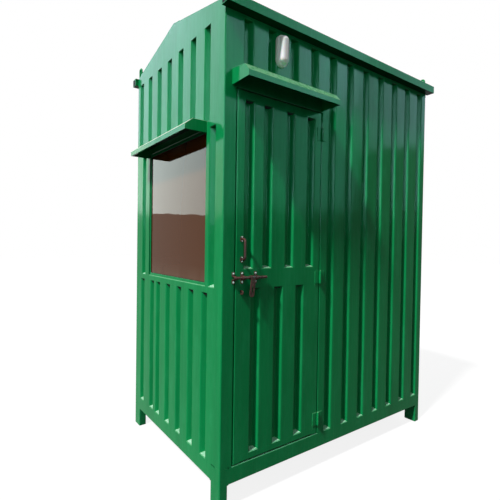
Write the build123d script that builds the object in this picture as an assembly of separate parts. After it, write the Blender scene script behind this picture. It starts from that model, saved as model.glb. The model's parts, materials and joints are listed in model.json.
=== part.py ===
"""Steel guard booth: a welded tube frame filled with ribbed sheet, with a window end and a side door.

Millimetres, +Z up. The window end faces -Y, the door side faces +X and the ridge runs along Y.
Pieces are modelled about the middle of the cabin's plan at ground level, and every piece is then
moved alike so that the origin lies under the middle of the whole booth's box.
"""

import os
from math import atan2, cos, degrees, pi, sin, tan

from build123d import *

# Cabin
CABIN_WIDTH = 1220.0
CABIN_LENGTH = 1830.0
LEG_HEIGHT = 125.0
GABLE_FOOT = 65.0
RIDGE_RISE = 138.0
CUT_OVERRUN = 5.0

# Frame tubes and bent rods
TUBE_WALL = 3.0
TUBE_CORNER = 4.0
POST_SIDE = 50.0
LEG_WIDTH = 90.0
BASE_RAIL_HEIGHT = 90.0
TOP_RAIL_HEIGHT = 50.0
JOIST_SIDE = 50.0
JOIST_COUNT = 4
DECK_THICKNESS = 20.0
RIDGE_BEAM_SIDE = 40.0
ROD_FLATS = 8

# Ribbed sheet
SHEET = 2.0
RIB_PITCH = 160.0
RIB_OPENING = 58.0
RIB_BOTTOM = 25.0
RIB_DEPTH = 30.0
RIB_EDGE = 4.0
BEND_RADIUS = 4.0
ROOF_RIB_DEPTH = 12.0
ROOF_RIB_OPENING = 44.0
ROOF_RIB_BOTTOM = 28.0
GABLE_PLATE = 3.0

# Ribs, each from the edge of its own sheet
UPPER_RIB_INSET = 127.0
LOWER_RIB_INSET = 130.0
LOWER_RIB_PITCH = 157.0
LOWER_LAP_WIDTH = 310.0
LOWER_LAP_INSET = 81.0
LOWER_LAP_PITCH = 176.0
RIGHT_STRIP_INSET = 62.0
LEFT_STRIP_INSET = 95.0
SIDE_RIB_INSET = 41.0

# Window
RIGHT_STRIP_WIDTH = 124.0
LEFT_STRIP_WIDTH = 194.0
SILL_BOTTOM = 973.0
SILL_HEIGHT = 40.0
HEAD_BOTTOM = 1850.0
HEAD_HEIGHT = 40.0
BEAD_WIDTH = 15.0
BEAD_DEPTH = 22.0
BEAD_SETBACK = 6.0
GLASS = 5.0
GLASS_SETBACK = 12.0

# Hoods over the window and the door
HOOD_SHEET = 2.0
HOOD_RETURN = 12.0
AWNING_LEFT_LAP = 16.0
AWNING_RIGHT_LAP = 3.0
AWNING_DEPTH = 130.0
AWNING_RAISE = 1.0
AWNING_HEIGHT = 62.0
AWNING_FALL = 1.0
AWNING_SHOULDER = 44.0
AWNING_LIP = 27.0
CANOPY_FRONT_LAP = 30.0
CANOPY_REAR_LAP = -5.0
CANOPY_DEPTH = 144.0
CANOPY_RAISE = 5.0
CANOPY_HEIGHT = 82.0
CANOPY_FALL = 15.0
CANOPY_SHOULDER = 35.0
CANOPY_LIP = 28.0

# Doorway and door
LOCK_JAMB = 25.0
HINGE_JAMB = 50.0
JAMB_STOP = 15.0
STOP_THICKNESS = 4.0
DOOR_GAP = 5.0
DOOR_WIDTH = 610.0
DOOR_THICKNESS = 40.0
DOOR_HEIGHT = 1935.0
DOOR_HEAD = 50.0
OVER_DOOR_HEIGHT = 310.0
STILE = 40.0
DOOR_TOP_RAIL = 45.0
DOOR_BOTTOM_RAIL = 40.0
MID_RAIL_BOTTOM = 908.0
MID_RAIL_HEIGHT = 110.0
DOOR_UPPER_INSET = 41.0
DOOR_UPPER_LAP = 125.0
DOOR_LOWER_INSET = 91.0

# Butt hinges
HINGE_LENGTH = 76.0
HINGE_LEAF = 30.0
HINGE_PLATE = 3.0
KNUCKLE_RADIUS = 7.0
KNUCKLE_RISE = 8.0
KNUCKLE_GAP = 0.5
PIN_RADIUS = 3.5
PIN_CLEARANCE = 0.05
LOW_HINGE_RISE = 50.0
MID_HINGE_RISE = 5.0
TOP_HINGE_DROP = 88.0

# Slide bolt, pull and lug
BOLT_RISE = 62.0
ROD_RADIUS = 7.0
ROD_STAND_OFF = 14.0
ROD_LENGTH = 193.0
ROD_INSET = 2.0
ROD_CHAMFER = 2.0
CLIP_SHEET = 3.5
CLIP_WIDTH = 17.0
CLIP_HEIGHT = 62.0
CLIP_CLEARANCE = 0.3
CLIP_CORNER = 4.0
KEEPER_INSET = 9.0
NEAR_CLIP = 40.0
FAR_CLIP = 127.0
HASP_PLACE = 100.0
HASP_COLLAR = 30.0
HASP_THICKNESS = 4.0
HASP_LENGTH = 102.0
HASP_LEAN = 10.0
HASP_SLOT_WIDTH = 8.0
HASP_SLOT_LENGTH = 34.0
HASP_SLOT_DROP = 62.0
HASP_CLEARANCE = 0.3
LUG_PLACE = 33.0
LUG_DROP = 75.0
LUG_THICKNESS = 5.0
LUG_SIDE = 22.0
LUG_REACH = 26.0
LUG_HOLE = 5.0
PULL_PLACE = 38.0
PULL_RISE = 147.0
PULL_LENGTH = 137.0
PULL_ROD_RADIUS = 6.0
PULL_REACH = 36.0
PULL_BEND = 16.0
PULL_FOOT_LENGTH = 30.0
PULL_FOOT_WIDTH = 22.0
PULL_FOOT_SHEET = 4.0

# Bulkhead lamp
LAMP_PLACE = 280.0
LAMP_RISE = 211.0
LAMP_WIDTH = 74.0
LAMP_LENGTH = 172.0
LAMP_BASE = 18.0
LAMP_BASE_EDGE = 5.0
DIFFUSER_RIM = 6.0
DIFFUSER_WALL = 14.0
DIFFUSER_DRAFT = 6.0
DIFFUSER_SHOULDER = 12.0
DIFFUSER_SHOULDER_DRAFT = 38.0
DIFFUSER_CROWN = 6.0
DIFFUSER_CROWN_DRAFT = 66.0

# Roof edges
EAVE_OUT = 55.0
EAVE_HEIGHT = 50.0
EAVE_RAISE = 17.0
EAVE_SHEET = 2.0
EAVE_FRONT = 22.0
EAVE_REAR = 20.0
RIDGE_CAP_REACH = 90.0
LOOP_ROD_RADIUS = 7.0
LOOP_WIDTH = 46.0
LOOP_RISE = 76.0
LOOP_INSET = 24.0
LOOP_SEAT = 0.2
LOOP_CLEARANCE = 1.0

HALF_WIDTH = CABIN_WIDTH / 2
HALF_LENGTH = CABIN_LENGTH / 2
BASE = LEG_HEIGHT
RAIL_TOP = BASE + BASE_RAIL_HEIGHT
POST_X = HALF_WIDTH - POST_SIDE
POST_Y = HALF_LENGTH - POST_SIDE

DOORWAY_FRONT = -POST_Y + LOCK_JAMB
DOORWAY_REAR = DOORWAY_FRONT + DOOR_WIDTH + 2 * DOOR_GAP
DOORWAY_TOP = RAIL_TOP + DOOR_HEIGHT + 2 * DOOR_GAP
DOOR_FRONT = DOORWAY_FRONT + DOOR_GAP
DOOR_REAR = DOOR_FRONT + DOOR_WIDTH
DOOR_BOTTOM = RAIL_TOP + DOOR_GAP
DOOR_TOP = DOOR_BOTTOM + DOOR_HEIGHT
MID_RAIL = DOOR_BOTTOM + MID_RAIL_BOTTOM
JAMB_REAR = DOORWAY_REAR + HINGE_JAMB
OVER_DOOR = DOORWAY_TOP + DOOR_HEAD
HINGE_X = HALF_WIDTH + KNUCKLE_RISE
HINGE_Y = DOORWAY_REAR - DOOR_GAP / 2
ROD_X = HALF_WIDTH + ROD_STAND_OFF
ROD_Z = MID_RAIL + BOLT_RISE

WALL_TOP = OVER_DOOR + OVER_DOOR_HEIGHT
GABLE_TOP = WALL_TOP + GABLE_FOOT
ROOF_SLOPE = atan2(RIDGE_RISE, HALF_WIDTH)
SILL_TOP = BASE + SILL_BOTTOM + SILL_HEIGHT
HEAD_TOP = BASE + HEAD_BOTTOM + HEAD_HEIGHT
WINDOW_LEFT = LEFT_STRIP_WIDTH - POST_X
WINDOW_RIGHT = POST_X - RIGHT_STRIP_WIDTH

# The booth's box reaches past the cabin at the canopy, the awning and the eaves.
SHIFT_X = (EAVE_OUT - CANOPY_DEPTH) / 2
SHIFT_Y = (AWNING_DEPTH - EAVE_REAR) / 2


def block(x, y, z):
    """A block from its low and high place on each axis."""
    size = Box(x[1] - x[0], y[1] - y[0], z[1] - z[0], align=(Align.MIN, Align.MIN, Align.MIN))
    return Pos(x[0], y[0], z[0]) * size


def tube(width, depth, length):
    """A rectangular hollow section standing on the origin, its outer corners eased by flats."""
    outer = chamfer(Rectangle(width, depth).vertices(), TUBE_CORNER)
    inner = Rectangle(width - 2 * TUBE_WALL, depth - 2 * TUBE_WALL)
    return extrude(outer - inner, length)


def tube_along_x(x, y, z):
    """A hollow section that fills the given box and runs along X."""
    section = tube(z[1] - z[0], y[1] - y[0], x[1] - x[0])
    return Pos(x[0], (y[0] + y[1]) / 2, (z[0] + z[1]) / 2) * Rot(0, 90, 0) * section


def tube_along_y(x, y, z):
    """A hollow section that fills the given box and runs along Y."""
    section = tube(x[1] - x[0], z[1] - z[0], y[1] - y[0])
    return Pos((x[0] + x[1]) / 2, y[0], (z[0] + z[1]) / 2) * Rot(-90, 0, 0) * section


def tube_along_z(x, y, z):
    """A hollow section that fills the given box and stands upright."""
    section = tube(x[1] - x[0], y[1] - y[0], z[1] - z[0])
    return Pos((x[0] + x[1]) / 2, (y[0] + y[1]) / 2, z[0]) * section


def rib_line(start, end, places, opening, bottom, depth, level, lip, root):
    """One face of a ribbed sheet: a line with a trapezoid groove at each place, a flat across each bend."""
    flank = atan2(depth, (opening - bottom) / 2)
    lip_cut = lip * tan(flank / 2)
    root_cut = root * tan(flank / 2)
    half_groove = [
        (opening / 2 + lip_cut, 0),
        (opening / 2 - lip_cut * cos(flank), lip_cut * sin(flank)),
        (bottom / 2 + root_cut * cos(flank), depth - root_cut * sin(flank)),
        (bottom / 2 - root_cut, depth),
    ]
    points = [(start, -level)]
    for place in places:
        points += [(place - out, -level - down) for out, down in half_groove]
        points += [(place + out, -level - down) for out, down in reversed(half_groove)]
    points.append((end, -level))
    return Polyline(*points)


def ribbed_face(start, end, places, opening=RIB_OPENING, bottom=RIB_BOTTOM, depth=RIB_DEPTH):
    """The section of a ribbed sheet of even thickness, lands at zero and grooves below it."""
    flank = atan2(depth, (opening - bottom) / 2)
    widening = 2 * SHEET * tan(flank / 2)
    outer_bend = BEND_RADIUS + SHEET
    front = rib_line(start, end, places, opening, bottom, depth, 0, outer_bend, BEND_RADIUS)
    back = rib_line(
        start, end, places, opening + widening, bottom + widening, depth, SHEET, BEND_RADIUS, outer_bend
    )
    ends = [Line((x, 0), (x, -SHEET)) for x in (start, end)]
    return make_face([*front.edges(), *back.edges(), *ends])


def ribs_from(first, step, limit):
    """Places from the first rib on by a step, as far as a whole rib and its edge fit short of a limit."""
    way = 1 if step > 0 else -1
    room = (limit - first) * way - RIB_OPENING / 2 - RIB_EDGE
    return sorted(first + step * i for i in range(int(room // abs(step)) + 1))


def ribs_centred(low, high, pitch):
    """As many ribs as fit between two edges, spaced evenly about their middle."""
    count = int((high - low - RIB_OPENING - 2 * RIB_EDGE) // pitch) + 1
    middle = (low + high) / 2
    return [middle + pitch * (i - (count - 1) / 2) for i in range(count)]


def front_sheet(x, z, places):
    """A ribbed sheet in the window end, from its span, its heights and its ribs."""
    sheet = extrude(ribbed_face(x[0], x[1], places), z[1] - z[0])
    return Pos(0, -HALF_LENGTH, z[0]) * mirror(sheet, Plane.XZ)


def right_sheet(y, z, places):
    """A ribbed sheet in the door side."""
    sheet = extrude(ribbed_face(y[0], y[1], places), z[1] - z[0])
    return Pos(HALF_WIDTH, 0, z[0]) * Rot(0, 0, 90) * mirror(sheet, Plane.XZ)


def corner_places():
    """The four corners of the plan, as signs."""
    return [(sx, sy) for sx in (-1, 1) for sy in (-1, 1)]


def legs():
    solids = []
    for sx, sy in corner_places():
        x = sorted((sx * HALF_WIDTH, sx * (HALF_WIDTH - LEG_WIDTH)))
        y = sorted((sy * HALF_LENGTH, sy * POST_Y))
        solids.append(tube_along_z(x, y, (0, RAIL_TOP)))
    return solids


def posts():
    solids = []
    for sx, sy in corner_places():
        x = sorted((sx * HALF_WIDTH, sx * POST_X))
        y = sorted((sy * HALF_LENGTH, sy * POST_Y))
        solids.append(tube_along_z(x, y, (RAIL_TOP, WALL_TOP)))
    return solids


def end_base_rails():
    solids = []
    span = HALF_WIDTH - LEG_WIDTH
    for sy in (-1, 1):
        y = sorted((sy * HALF_LENGTH, sy * POST_Y))
        solids.append(tube_along_x((-span, span), y, (BASE, RAIL_TOP)))
    return solids


def side_base_rails():
    solids = []
    for sx in (-1, 1):
        x = sorted((sx * HALF_WIDTH, sx * POST_X))
        solids.append(tube_along_y(x, (-POST_Y, POST_Y), (BASE, RAIL_TOP)))
    return solids


def floor_joists():
    solids = []
    top = RAIL_TOP - DECK_THICKNESS
    step = 2 * POST_Y / JOIST_COUNT
    for i in range(JOIST_COUNT):
        middle = -POST_Y + step * (i + 1 / 2)
        y = (middle - JOIST_SIDE / 2, middle + JOIST_SIDE / 2)
        solids.append(tube_along_x((-POST_X, POST_X), y, (top - JOIST_SIDE, top)))
    return solids


def floor_deck():
    x = (-POST_X, POST_X)
    y = (-POST_Y, POST_Y)
    return block(x, y, (RAIL_TOP - DECK_THICKNESS, RAIL_TOP))


def side_top_rails():
    solids = []
    reach = HALF_LENGTH - GABLE_PLATE
    for sx in (-1, 1):
        x = sorted((sx * HALF_WIDTH, sx * POST_X))
        solids.append(tube_along_y(x, (-reach, reach), (WALL_TOP, WALL_TOP + TOP_RAIL_HEIGHT)))
    return solids


def end_top_rails():
    solids = []
    face = HALF_LENGTH - GABLE_PLATE
    for sy in (-1, 1):
        y = sorted((sy * face, sy * (face - POST_SIDE)))
        z = (WALL_TOP, WALL_TOP + TOP_RAIL_HEIGHT)
        solids.append(tube_along_x((-POST_X, POST_X), y, z))
    return solids


def gable(front):
    """A flat gable plate on the outer face of an end, up to the roof line."""
    outline = Polyline(
        (-HALF_WIDTH, WALL_TOP),
        (HALF_WIDTH, WALL_TOP),
        (HALF_WIDTH, GABLE_TOP),
        (0, GABLE_TOP + RIDGE_RISE),
        (-HALF_WIDTH, GABLE_TOP),
        close=True,
    )
    plate = extrude(Plane.XZ * make_face(outline), GABLE_PLATE)
    face = GABLE_PLATE - HALF_LENGTH if front else HALF_LENGTH
    return Pos(0, face, 0) * plate


def roof_slope(side):
    """A ribbed roof sheet from the eave line to the ridge, ribs running down the slope."""
    start = SHEET * tan(ROOF_SLOPE)
    run = HALF_WIDTH / cos(ROOF_SLOPE) - (SHEET + ROOF_RIB_DEPTH) * tan(ROOF_SLOPE) - start
    places = ribs_centred(-HALF_LENGTH, HALF_LENGTH, RIB_PITCH)
    section = ribbed_face(
        -HALF_LENGTH, HALF_LENGTH, places, ROOF_RIB_OPENING, ROOF_RIB_BOTTOM, ROOF_RIB_DEPTH
    )
    sheet = Pos(start, 0, SHEET) * extrude(Plane.YZ * section, run)
    tilted = Pos(-HALF_WIDTH, 0, GABLE_TOP) * Rot(0, -degrees(ROOF_SLOPE), 0) * sheet
    roof = tilted if side < 0 else mirror(tilted, Plane.YZ)
    for slot in loop_slots():
        roof -= slot
    return roof


def ridge_beam():
    reach = HALF_LENGTH - GABLE_PLATE
    top = GABLE_TOP + RIDGE_RISE - ROOF_RIB_DEPTH - RIDGE_BEAM_SIDE / 2 * tan(ROOF_SLOPE)
    drop = SHEET * 2
    z = (top - drop - RIDGE_BEAM_SIDE, top - drop)
    return tube_along_y((-RIDGE_BEAM_SIDE / 2, RIDGE_BEAM_SIDE / 2), (-reach, reach), z)


def ridge_cap():
    """A folded strip over the ridge, lying on the lands of both roof sheets."""
    slope = tan(ROOF_SLOPE)
    low = GABLE_TOP + RIDGE_RISE + SHEET / cos(ROOF_SLOPE)
    high = low + SHEET / cos(ROOF_SLOPE)
    drop = RIDGE_CAP_REACH * slope
    outline = Polyline(
        (-RIDGE_CAP_REACH, low - drop),
        (0, low),
        (RIDGE_CAP_REACH, low - drop),
        (RIDGE_CAP_REACH, high - drop),
        (0, high),
        (-RIDGE_CAP_REACH, high - drop),
        close=True,
    )
    return Pos(0, HALF_LENGTH, 0) * extrude(Plane.XZ * make_face(outline), CABIN_LENGTH)


def eave(side):
    """A folded fascia along one long side: outer face, top and bottom flanges and closed ends."""
    y = (-HALF_LENGTH - EAVE_FRONT, HALF_LENGTH + EAVE_REAR)
    z = (WALL_TOP + EAVE_RAISE, WALL_TOP + EAVE_RAISE + EAVE_HEIGHT)
    outside = block((HALF_WIDTH, HALF_WIDTH + EAVE_OUT), y, z)
    hollow = block(
        (HALF_WIDTH - CUT_OVERRUN, HALF_WIDTH + EAVE_OUT - EAVE_SHEET),
        (y[0] + EAVE_SHEET, y[1] - EAVE_SHEET),
        (z[0] + EAVE_SHEET, z[1] - EAVE_SHEET),
    )
    fascia = outside - hollow
    return fascia if side > 0 else mirror(fascia, Plane.YZ)


def flat_sided(radius):
    """The section of a bent rod, drawn with flats that touch its round outline."""
    return RegularPolygon(radius, ROD_FLATS, major_radius=False, rotation=degrees(pi / ROD_FLATS))


def loop_feet():
    """Places of the loops' legs: on the side top rails, close behind the gable plates."""
    half = LOOP_WIDTH / 2 - LOOP_ROD_RADIUS
    y = HALF_LENGTH - GABLE_PLATE - LOOP_SEAT - LOOP_ROD_RADIUS
    feet = []
    for sx, sy in corner_places():
        x = sx * (HALF_WIDTH - LOOP_INSET)
        feet.append((x - half, x + half, sy * y))
    return feet


def loop_slots():
    """Room in the ends of the roof sheets for the legs of the loops."""
    room = LOOP_ROD_RADIUS + LOOP_CLEARANCE
    z = (WALL_TOP, GABLE_TOP + RIDGE_RISE)
    slots = []
    for left, right, y in loop_feet():
        reach = (y - room, HALF_LENGTH) if y > 0 else (-HALF_LENGTH, y + room)
        for leg in (left, right):
            slots.append(block((leg - room, leg + room), reach, z))
    return slots


def lifting_loops():
    """Bent rods welded on the top rails at the corners, each a tall U turned over."""
    half = LOOP_WIDTH / 2 - LOOP_ROD_RADIUS
    foot = WALL_TOP + TOP_RAIL_HEIGHT + LOOP_SEAT
    straight = GABLE_TOP + LOOP_RISE - LOOP_ROD_RADIUS - half - foot
    path = Line((-half, 0), (-half, straight))
    path += ThreePointArc((-half, straight), (0, straight + half), (half, straight))
    path += Line((half, straight), (half, 0))
    route = Plane.XZ * path
    start = Plane((-half, 0, 0), z_dir=(0, 0, 1))
    rod = sweep(start * flat_sided(LOOP_ROD_RADIUS), path=route)
    return [Pos((left + right) / 2, y, foot) * rod for left, right, y in loop_feet()]


def front_lower_panel():
    """Two sheets side by side under the window, the left one with its own spacing."""
    lap = LOWER_LAP_WIDTH - POST_X
    ribs = ribs_from(POST_X - LOWER_RIB_INSET, -LOWER_RIB_PITCH, lap)
    lapped = ribs_from(LOWER_LAP_INSET - POST_X, LOWER_LAP_PITCH, lap)
    return front_sheet((-POST_X, POST_X), (RAIL_TOP, BASE + SILL_BOTTOM), lapped + ribs)


def front_upper_panel():
    ribs = ribs_from(POST_X - UPPER_RIB_INSET, -RIB_PITCH, -POST_X)
    return front_sheet((-POST_X, POST_X), (HEAD_TOP, WALL_TOP), ribs)


def window_side_strips():
    z = (SILL_TOP, BASE + HEAD_BOTTOM)
    right = front_sheet((WINDOW_RIGHT, POST_X), z, [POST_X - RIGHT_STRIP_INSET])
    left = front_sheet((-POST_X, WINDOW_LEFT), z, [LEFT_STRIP_INSET - POST_X])
    return [left, right]


def sill_rail():
    y = (-HALF_LENGTH, -POST_Y)
    z = (BASE + SILL_BOTTOM, SILL_TOP)
    return tube_along_x((-POST_X, POST_X), y, z)


def head_rail():
    y = (-HALF_LENGTH, -POST_Y)
    z = (BASE + HEAD_BOTTOM, HEAD_TOP)
    return tube_along_x((-POST_X, POST_X), y, z)


def window_box(inset, y):
    """A block that fills the window opening, drawn in on all sides by an inset."""
    x = (WINDOW_LEFT + inset, WINDOW_RIGHT - inset)
    z = (SILL_TOP + inset, BASE + HEAD_BOTTOM - inset)
    return block(x, y, z)


def window_bead():
    """The bead round the glass, grooved to hold the pane."""
    front = -HALF_LENGTH + BEAD_SETBACK
    ring = window_box(0, (front, front + BEAD_DEPTH))
    ring -= window_box(BEAD_WIDTH, (front - CUT_OVERRUN, front + BEAD_DEPTH + CUT_OVERRUN))
    pane = -HALF_LENGTH + GLASS_SETBACK
    ring -= window_box(BEAD_WIDTH / 2, (pane, pane + GLASS))
    return ring


def window_glass():
    pane = -HALF_LENGTH + GLASS_SETBACK
    return window_box(BEAD_WIDTH / 2, (pane, pane + GLASS))


def hood(depth, height, fall, shoulder, lip, length):
    """A folded hood from the origin along -X: it stands out along -Y, its top back edge at zero."""
    outer = [(0, 0), (depth - shoulder, -fall), (depth, lip - height), (depth, -height), (0, -height)]
    section = make_face(Polyline(*outer, close=True))
    shell = extrude(section, length)
    inner = [
        (-CUT_OVERRUN, -HOOD_SHEET),
        (depth - shoulder - HOOD_SHEET / 2, -fall - HOOD_SHEET),
        (depth - HOOD_SHEET, lip - height - HOOD_SHEET / 2),
        (depth - HOOD_SHEET, HOOD_SHEET - height),
        (depth - HOOD_RETURN, HOOD_SHEET - height),
        (depth - HOOD_RETURN, -height - CUT_OVERRUN),
        (-CUT_OVERRUN, -height - CUT_OVERRUN),
    ]
    hollow = extrude(make_face(Polyline(*inner, close=True)), length - 2 * HOOD_SHEET)
    shell -= Pos(0, 0, HOOD_SHEET) * hollow
    return Plane((0, 0, 0), x_dir=(0, -1, 0), z_dir=(-1, 0, 0)) * shell


def window_awning():
    right = WINDOW_RIGHT + AWNING_RIGHT_LAP
    length = right - WINDOW_LEFT + AWNING_LEFT_LAP
    shell = hood(AWNING_DEPTH, AWNING_HEIGHT, AWNING_FALL, AWNING_SHOULDER, AWNING_LIP, length)
    return Pos(right, -HALF_LENGTH, HEAD_TOP + AWNING_RAISE) * shell


def door_canopy():
    rear = DOORWAY_REAR + CANOPY_REAR_LAP
    length = rear - DOORWAY_FRONT + CANOPY_FRONT_LAP
    shell = hood(CANOPY_DEPTH, CANOPY_HEIGHT, CANOPY_FALL, CANOPY_SHOULDER, CANOPY_LIP, length)
    top = DOORWAY_TOP + CANOPY_RAISE + CANOPY_HEIGHT
    return Pos(HALF_WIDTH, rear, top) * Rot(0, 0, 90) * shell


def right_wall_panel():
    ribs = ribs_from(JAMB_REAR + SIDE_RIB_INSET, RIB_PITCH, POST_Y)
    return right_sheet((JAMB_REAR, POST_Y), (RAIL_TOP, WALL_TOP), ribs)


def over_door_panel():
    """The sheet over the door, its ribs in step with those of the wall beside it."""
    ribs = ribs_from(JAMB_REAR + SIDE_RIB_INSET - RIB_PITCH, -RIB_PITCH, -POST_Y)
    return right_sheet((-POST_Y, JAMB_REAR), (OVER_DOOR, WALL_TOP), ribs)


def left_wall_panel():
    ribs = ribs_centred(-POST_Y, POST_Y, RIB_PITCH)
    return mirror(right_sheet((-POST_Y, POST_Y), (RAIL_TOP, WALL_TOP), ribs), Plane.YZ)


def rear_wall_panel():
    ribs = ribs_centred(-POST_X, POST_X, RIB_PITCH)
    return mirror(front_sheet((-POST_X, POST_X), (RAIL_TOP, WALL_TOP), ribs), Plane.XZ)


def door_jambs():
    """The lock and hinge jambs, each with a stop behind the door."""
    x = (POST_X, HALF_WIDTH)
    z = (RAIL_TOP, OVER_DOOR)
    stop_face = HALF_WIDTH - DOOR_THICKNESS - DOOR_GAP
    stop = (stop_face - STOP_THICKNESS, stop_face)
    lock = tube_along_z(x, (DOORWAY_FRONT - LOCK_JAMB, DOORWAY_FRONT), z)
    lock += block(stop, (DOORWAY_FRONT - TUBE_WALL, DOORWAY_FRONT + JAMB_STOP), (RAIL_TOP, DOORWAY_TOP))
    hinge = tube_along_z(x, (DOORWAY_REAR, JAMB_REAR), z)
    hinge += block(stop, (DOORWAY_REAR - JAMB_STOP, DOORWAY_REAR + TUBE_WALL), (RAIL_TOP, DOORWAY_TOP))
    return [lock, hinge]


def door_head():
    x = (POST_X, HALF_WIDTH)
    return tube_along_y(x, (DOORWAY_FRONT, DOORWAY_REAR), (DOORWAY_TOP, OVER_DOOR))


def door_frame():
    """The leaf's flush frame: two stiles, a top, a middle and a bottom rail."""
    x = (HALF_WIDTH - DOOR_THICKNESS, HALF_WIDTH)
    between = (DOOR_FRONT + STILE, DOOR_REAR - STILE)
    frame = tube_along_z(x, (DOOR_FRONT, DOOR_FRONT + STILE), (DOOR_BOTTOM, DOOR_TOP))
    frame += tube_along_z(x, (DOOR_REAR - STILE, DOOR_REAR), (DOOR_BOTTOM, DOOR_TOP))
    frame += tube_along_y(x, between, (DOOR_BOTTOM, DOOR_BOTTOM + DOOR_BOTTOM_RAIL))
    frame += tube_along_y(x, between, (MID_RAIL, MID_RAIL + MID_RAIL_HEIGHT))
    frame += tube_along_y(x, between, (DOOR_TOP - DOOR_TOP_RAIL, DOOR_TOP))
    return frame


def door_upper_panel():
    """The upper sheet of the leaf: a narrow lapped strip at the lock side, then even ribs."""
    span = (DOOR_FRONT + STILE, DOOR_REAR - STILE)
    first = span[0] + DOOR_UPPER_INSET
    ribs = [first] + ribs_from(first + DOOR_UPPER_LAP, RIB_PITCH, span[1])
    return right_sheet(span, (MID_RAIL + MID_RAIL_HEIGHT, DOOR_TOP - DOOR_TOP_RAIL), ribs)


def door_lower_panel():
    span = (DOOR_FRONT + STILE, DOOR_REAR - STILE)
    ribs = ribs_from(span[0] + DOOR_LOWER_INSET, RIB_PITCH, span[1])
    return right_sheet(span, (DOOR_BOTTOM + DOOR_BOTTOM_RAIL, MID_RAIL), ribs)


def hinge_leaf(knuckles, toward):
    """One leaf of a butt hinge about the origin's Z axis, with its knuckles and a flat plate."""
    face = -KNUCKLE_RISE
    near = KNUCKLE_RADIUS + KNUCKLE_GAP
    plate_y = sorted((toward * near, toward * (near + HINGE_LEAF)))
    leaf = block((face, face + HINGE_PLATE), plate_y, (0, HINGE_LENGTH))
    for low, high in knuckles:
        arm_y = sorted((0, toward * (near + HINGE_PLATE)))
        leaf += block((face, face + HINGE_PLATE), arm_y, (low, high))
        leaf += Pos(0, 0, low) * extrude(Circle(KNUCKLE_RADIUS), high - low)
    return leaf


def knuckle_spans():
    """The hinge's knuckles from the bottom: two on the jamb and the longer middle one on the door."""
    third = HINGE_LENGTH / 3
    low = (0, third)
    middle = (third + KNUCKLE_GAP, 2 * third - KNUCKLE_GAP)
    high = (2 * third, HINGE_LENGTH)
    return low, middle, high


def hinge_places():
    low = DOOR_BOTTOM + LOW_HINGE_RISE
    middle = MID_RAIL + MID_HINGE_RISE
    high = DOOR_TOP - TOP_HINGE_DROP - HINGE_LENGTH
    return [Pos(HINGE_X, HINGE_Y, z) for z in (low, middle, high)]


def jamb_hinge_leaves():
    low, middle, high = knuckle_spans()
    leaf = hinge_leaf([low, high], 1)
    pin = extrude(Circle(PIN_RADIUS), HINGE_LENGTH)
    return [place * (leaf + pin) for place in hinge_places()]


def door_hinge_leaves():
    low, middle, high = knuckle_spans()
    leaf = hinge_leaf([middle], -1)
    leaf -= extrude(Circle(PIN_RADIUS + PIN_CLEARANCE), HINGE_LENGTH)
    return [place * leaf for place in hinge_places()]


def saddle_clip():
    """A strap bent over the rod, with a flat foot above and below, about the rod's axis."""
    bore = ROD_RADIUS + CLIP_CLEARANCE
    out = bore + CLIP_SHEET
    foot_x = CLIP_SHEET / 2 - ROD_STAND_OFF
    strap = Circle(out) + Pos(-ROD_STAND_OFF / 2, 0) * Rectangle(ROD_STAND_OFF, 2 * out)
    strap += Pos(foot_x, 0) * Rectangle(CLIP_SHEET, CLIP_HEIGHT)
    strap -= Circle(bore) + Pos(-ROD_STAND_OFF / 2, 0) * Rectangle(ROD_STAND_OFF, 2 * bore)
    clip = extrude(Plane.XZ * strap, CLIP_WIDTH / 2, both=True)
    sheet_edges = clip.edges().filter_by(Axis.X)
    tips = [edge for edge in sheet_edges if abs(abs(edge.center().Z) - CLIP_HEIGHT / 2) < CLIP_CORNER]
    return fillet(tips, CLIP_CORNER)


def bolt_clips():
    clip = saddle_clip()
    return [Pos(ROD_X, DOOR_FRONT + place, ROD_Z) * clip for place in (NEAR_CLIP, FAR_CLIP)]


def bolt_keeper():
    return Pos(ROD_X, DOORWAY_FRONT - KEEPER_INSET, ROD_Z) * saddle_clip()


def bolt_rod():
    rod = extrude(Circle(ROD_RADIUS), ROD_LENGTH)
    rod = chamfer(rod.edges().filter_by(GeomType.CIRCLE), ROD_CHAMFER)
    return Pos(ROD_X, DOOR_FRONT + ROD_INSET, ROD_Z) * Rot(-90, 0, 0) * rod


def bolt_hasp():
    """A collar round the rod with a flat tail hanging from it, slotted near its rounded end."""
    bore = ROD_RADIUS + HASP_CLEARANCE
    ring = Circle(bore + HASP_THICKNESS)
    collar = extrude(Plane.XZ * ring, HASP_COLLAR / 2, both=True)
    half = HASP_COLLAR / 2
    low = half - HASP_LENGTH
    tail = Polyline(
        (-half, 0), (half, 0), (half - HASP_LEAN, low), (-half - HASP_LEAN, low), close=True
    )
    outline = make_face(tail) + Pos(-HASP_LEAN, low) * Circle(half)
    slot_lean = HASP_LEAN * HASP_SLOT_DROP / HASP_LENGTH
    outline -= Pos(-slot_lean, -HASP_SLOT_DROP) * Rot(0, 0, 90) * SlotOverall(HASP_SLOT_LENGTH, HASP_SLOT_WIDTH)
    plate = extrude(Plane.YZ * outline, HASP_THICKNESS)
    plate = Pos(bore, 0, 0) * plate
    hasp = collar + plate
    hasp -= extrude(Plane.XZ * Circle(bore), HASP_COLLAR, both=True)
    return Pos(ROD_X, DOOR_FRONT + HASP_PLACE, ROD_Z) * hasp


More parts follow.
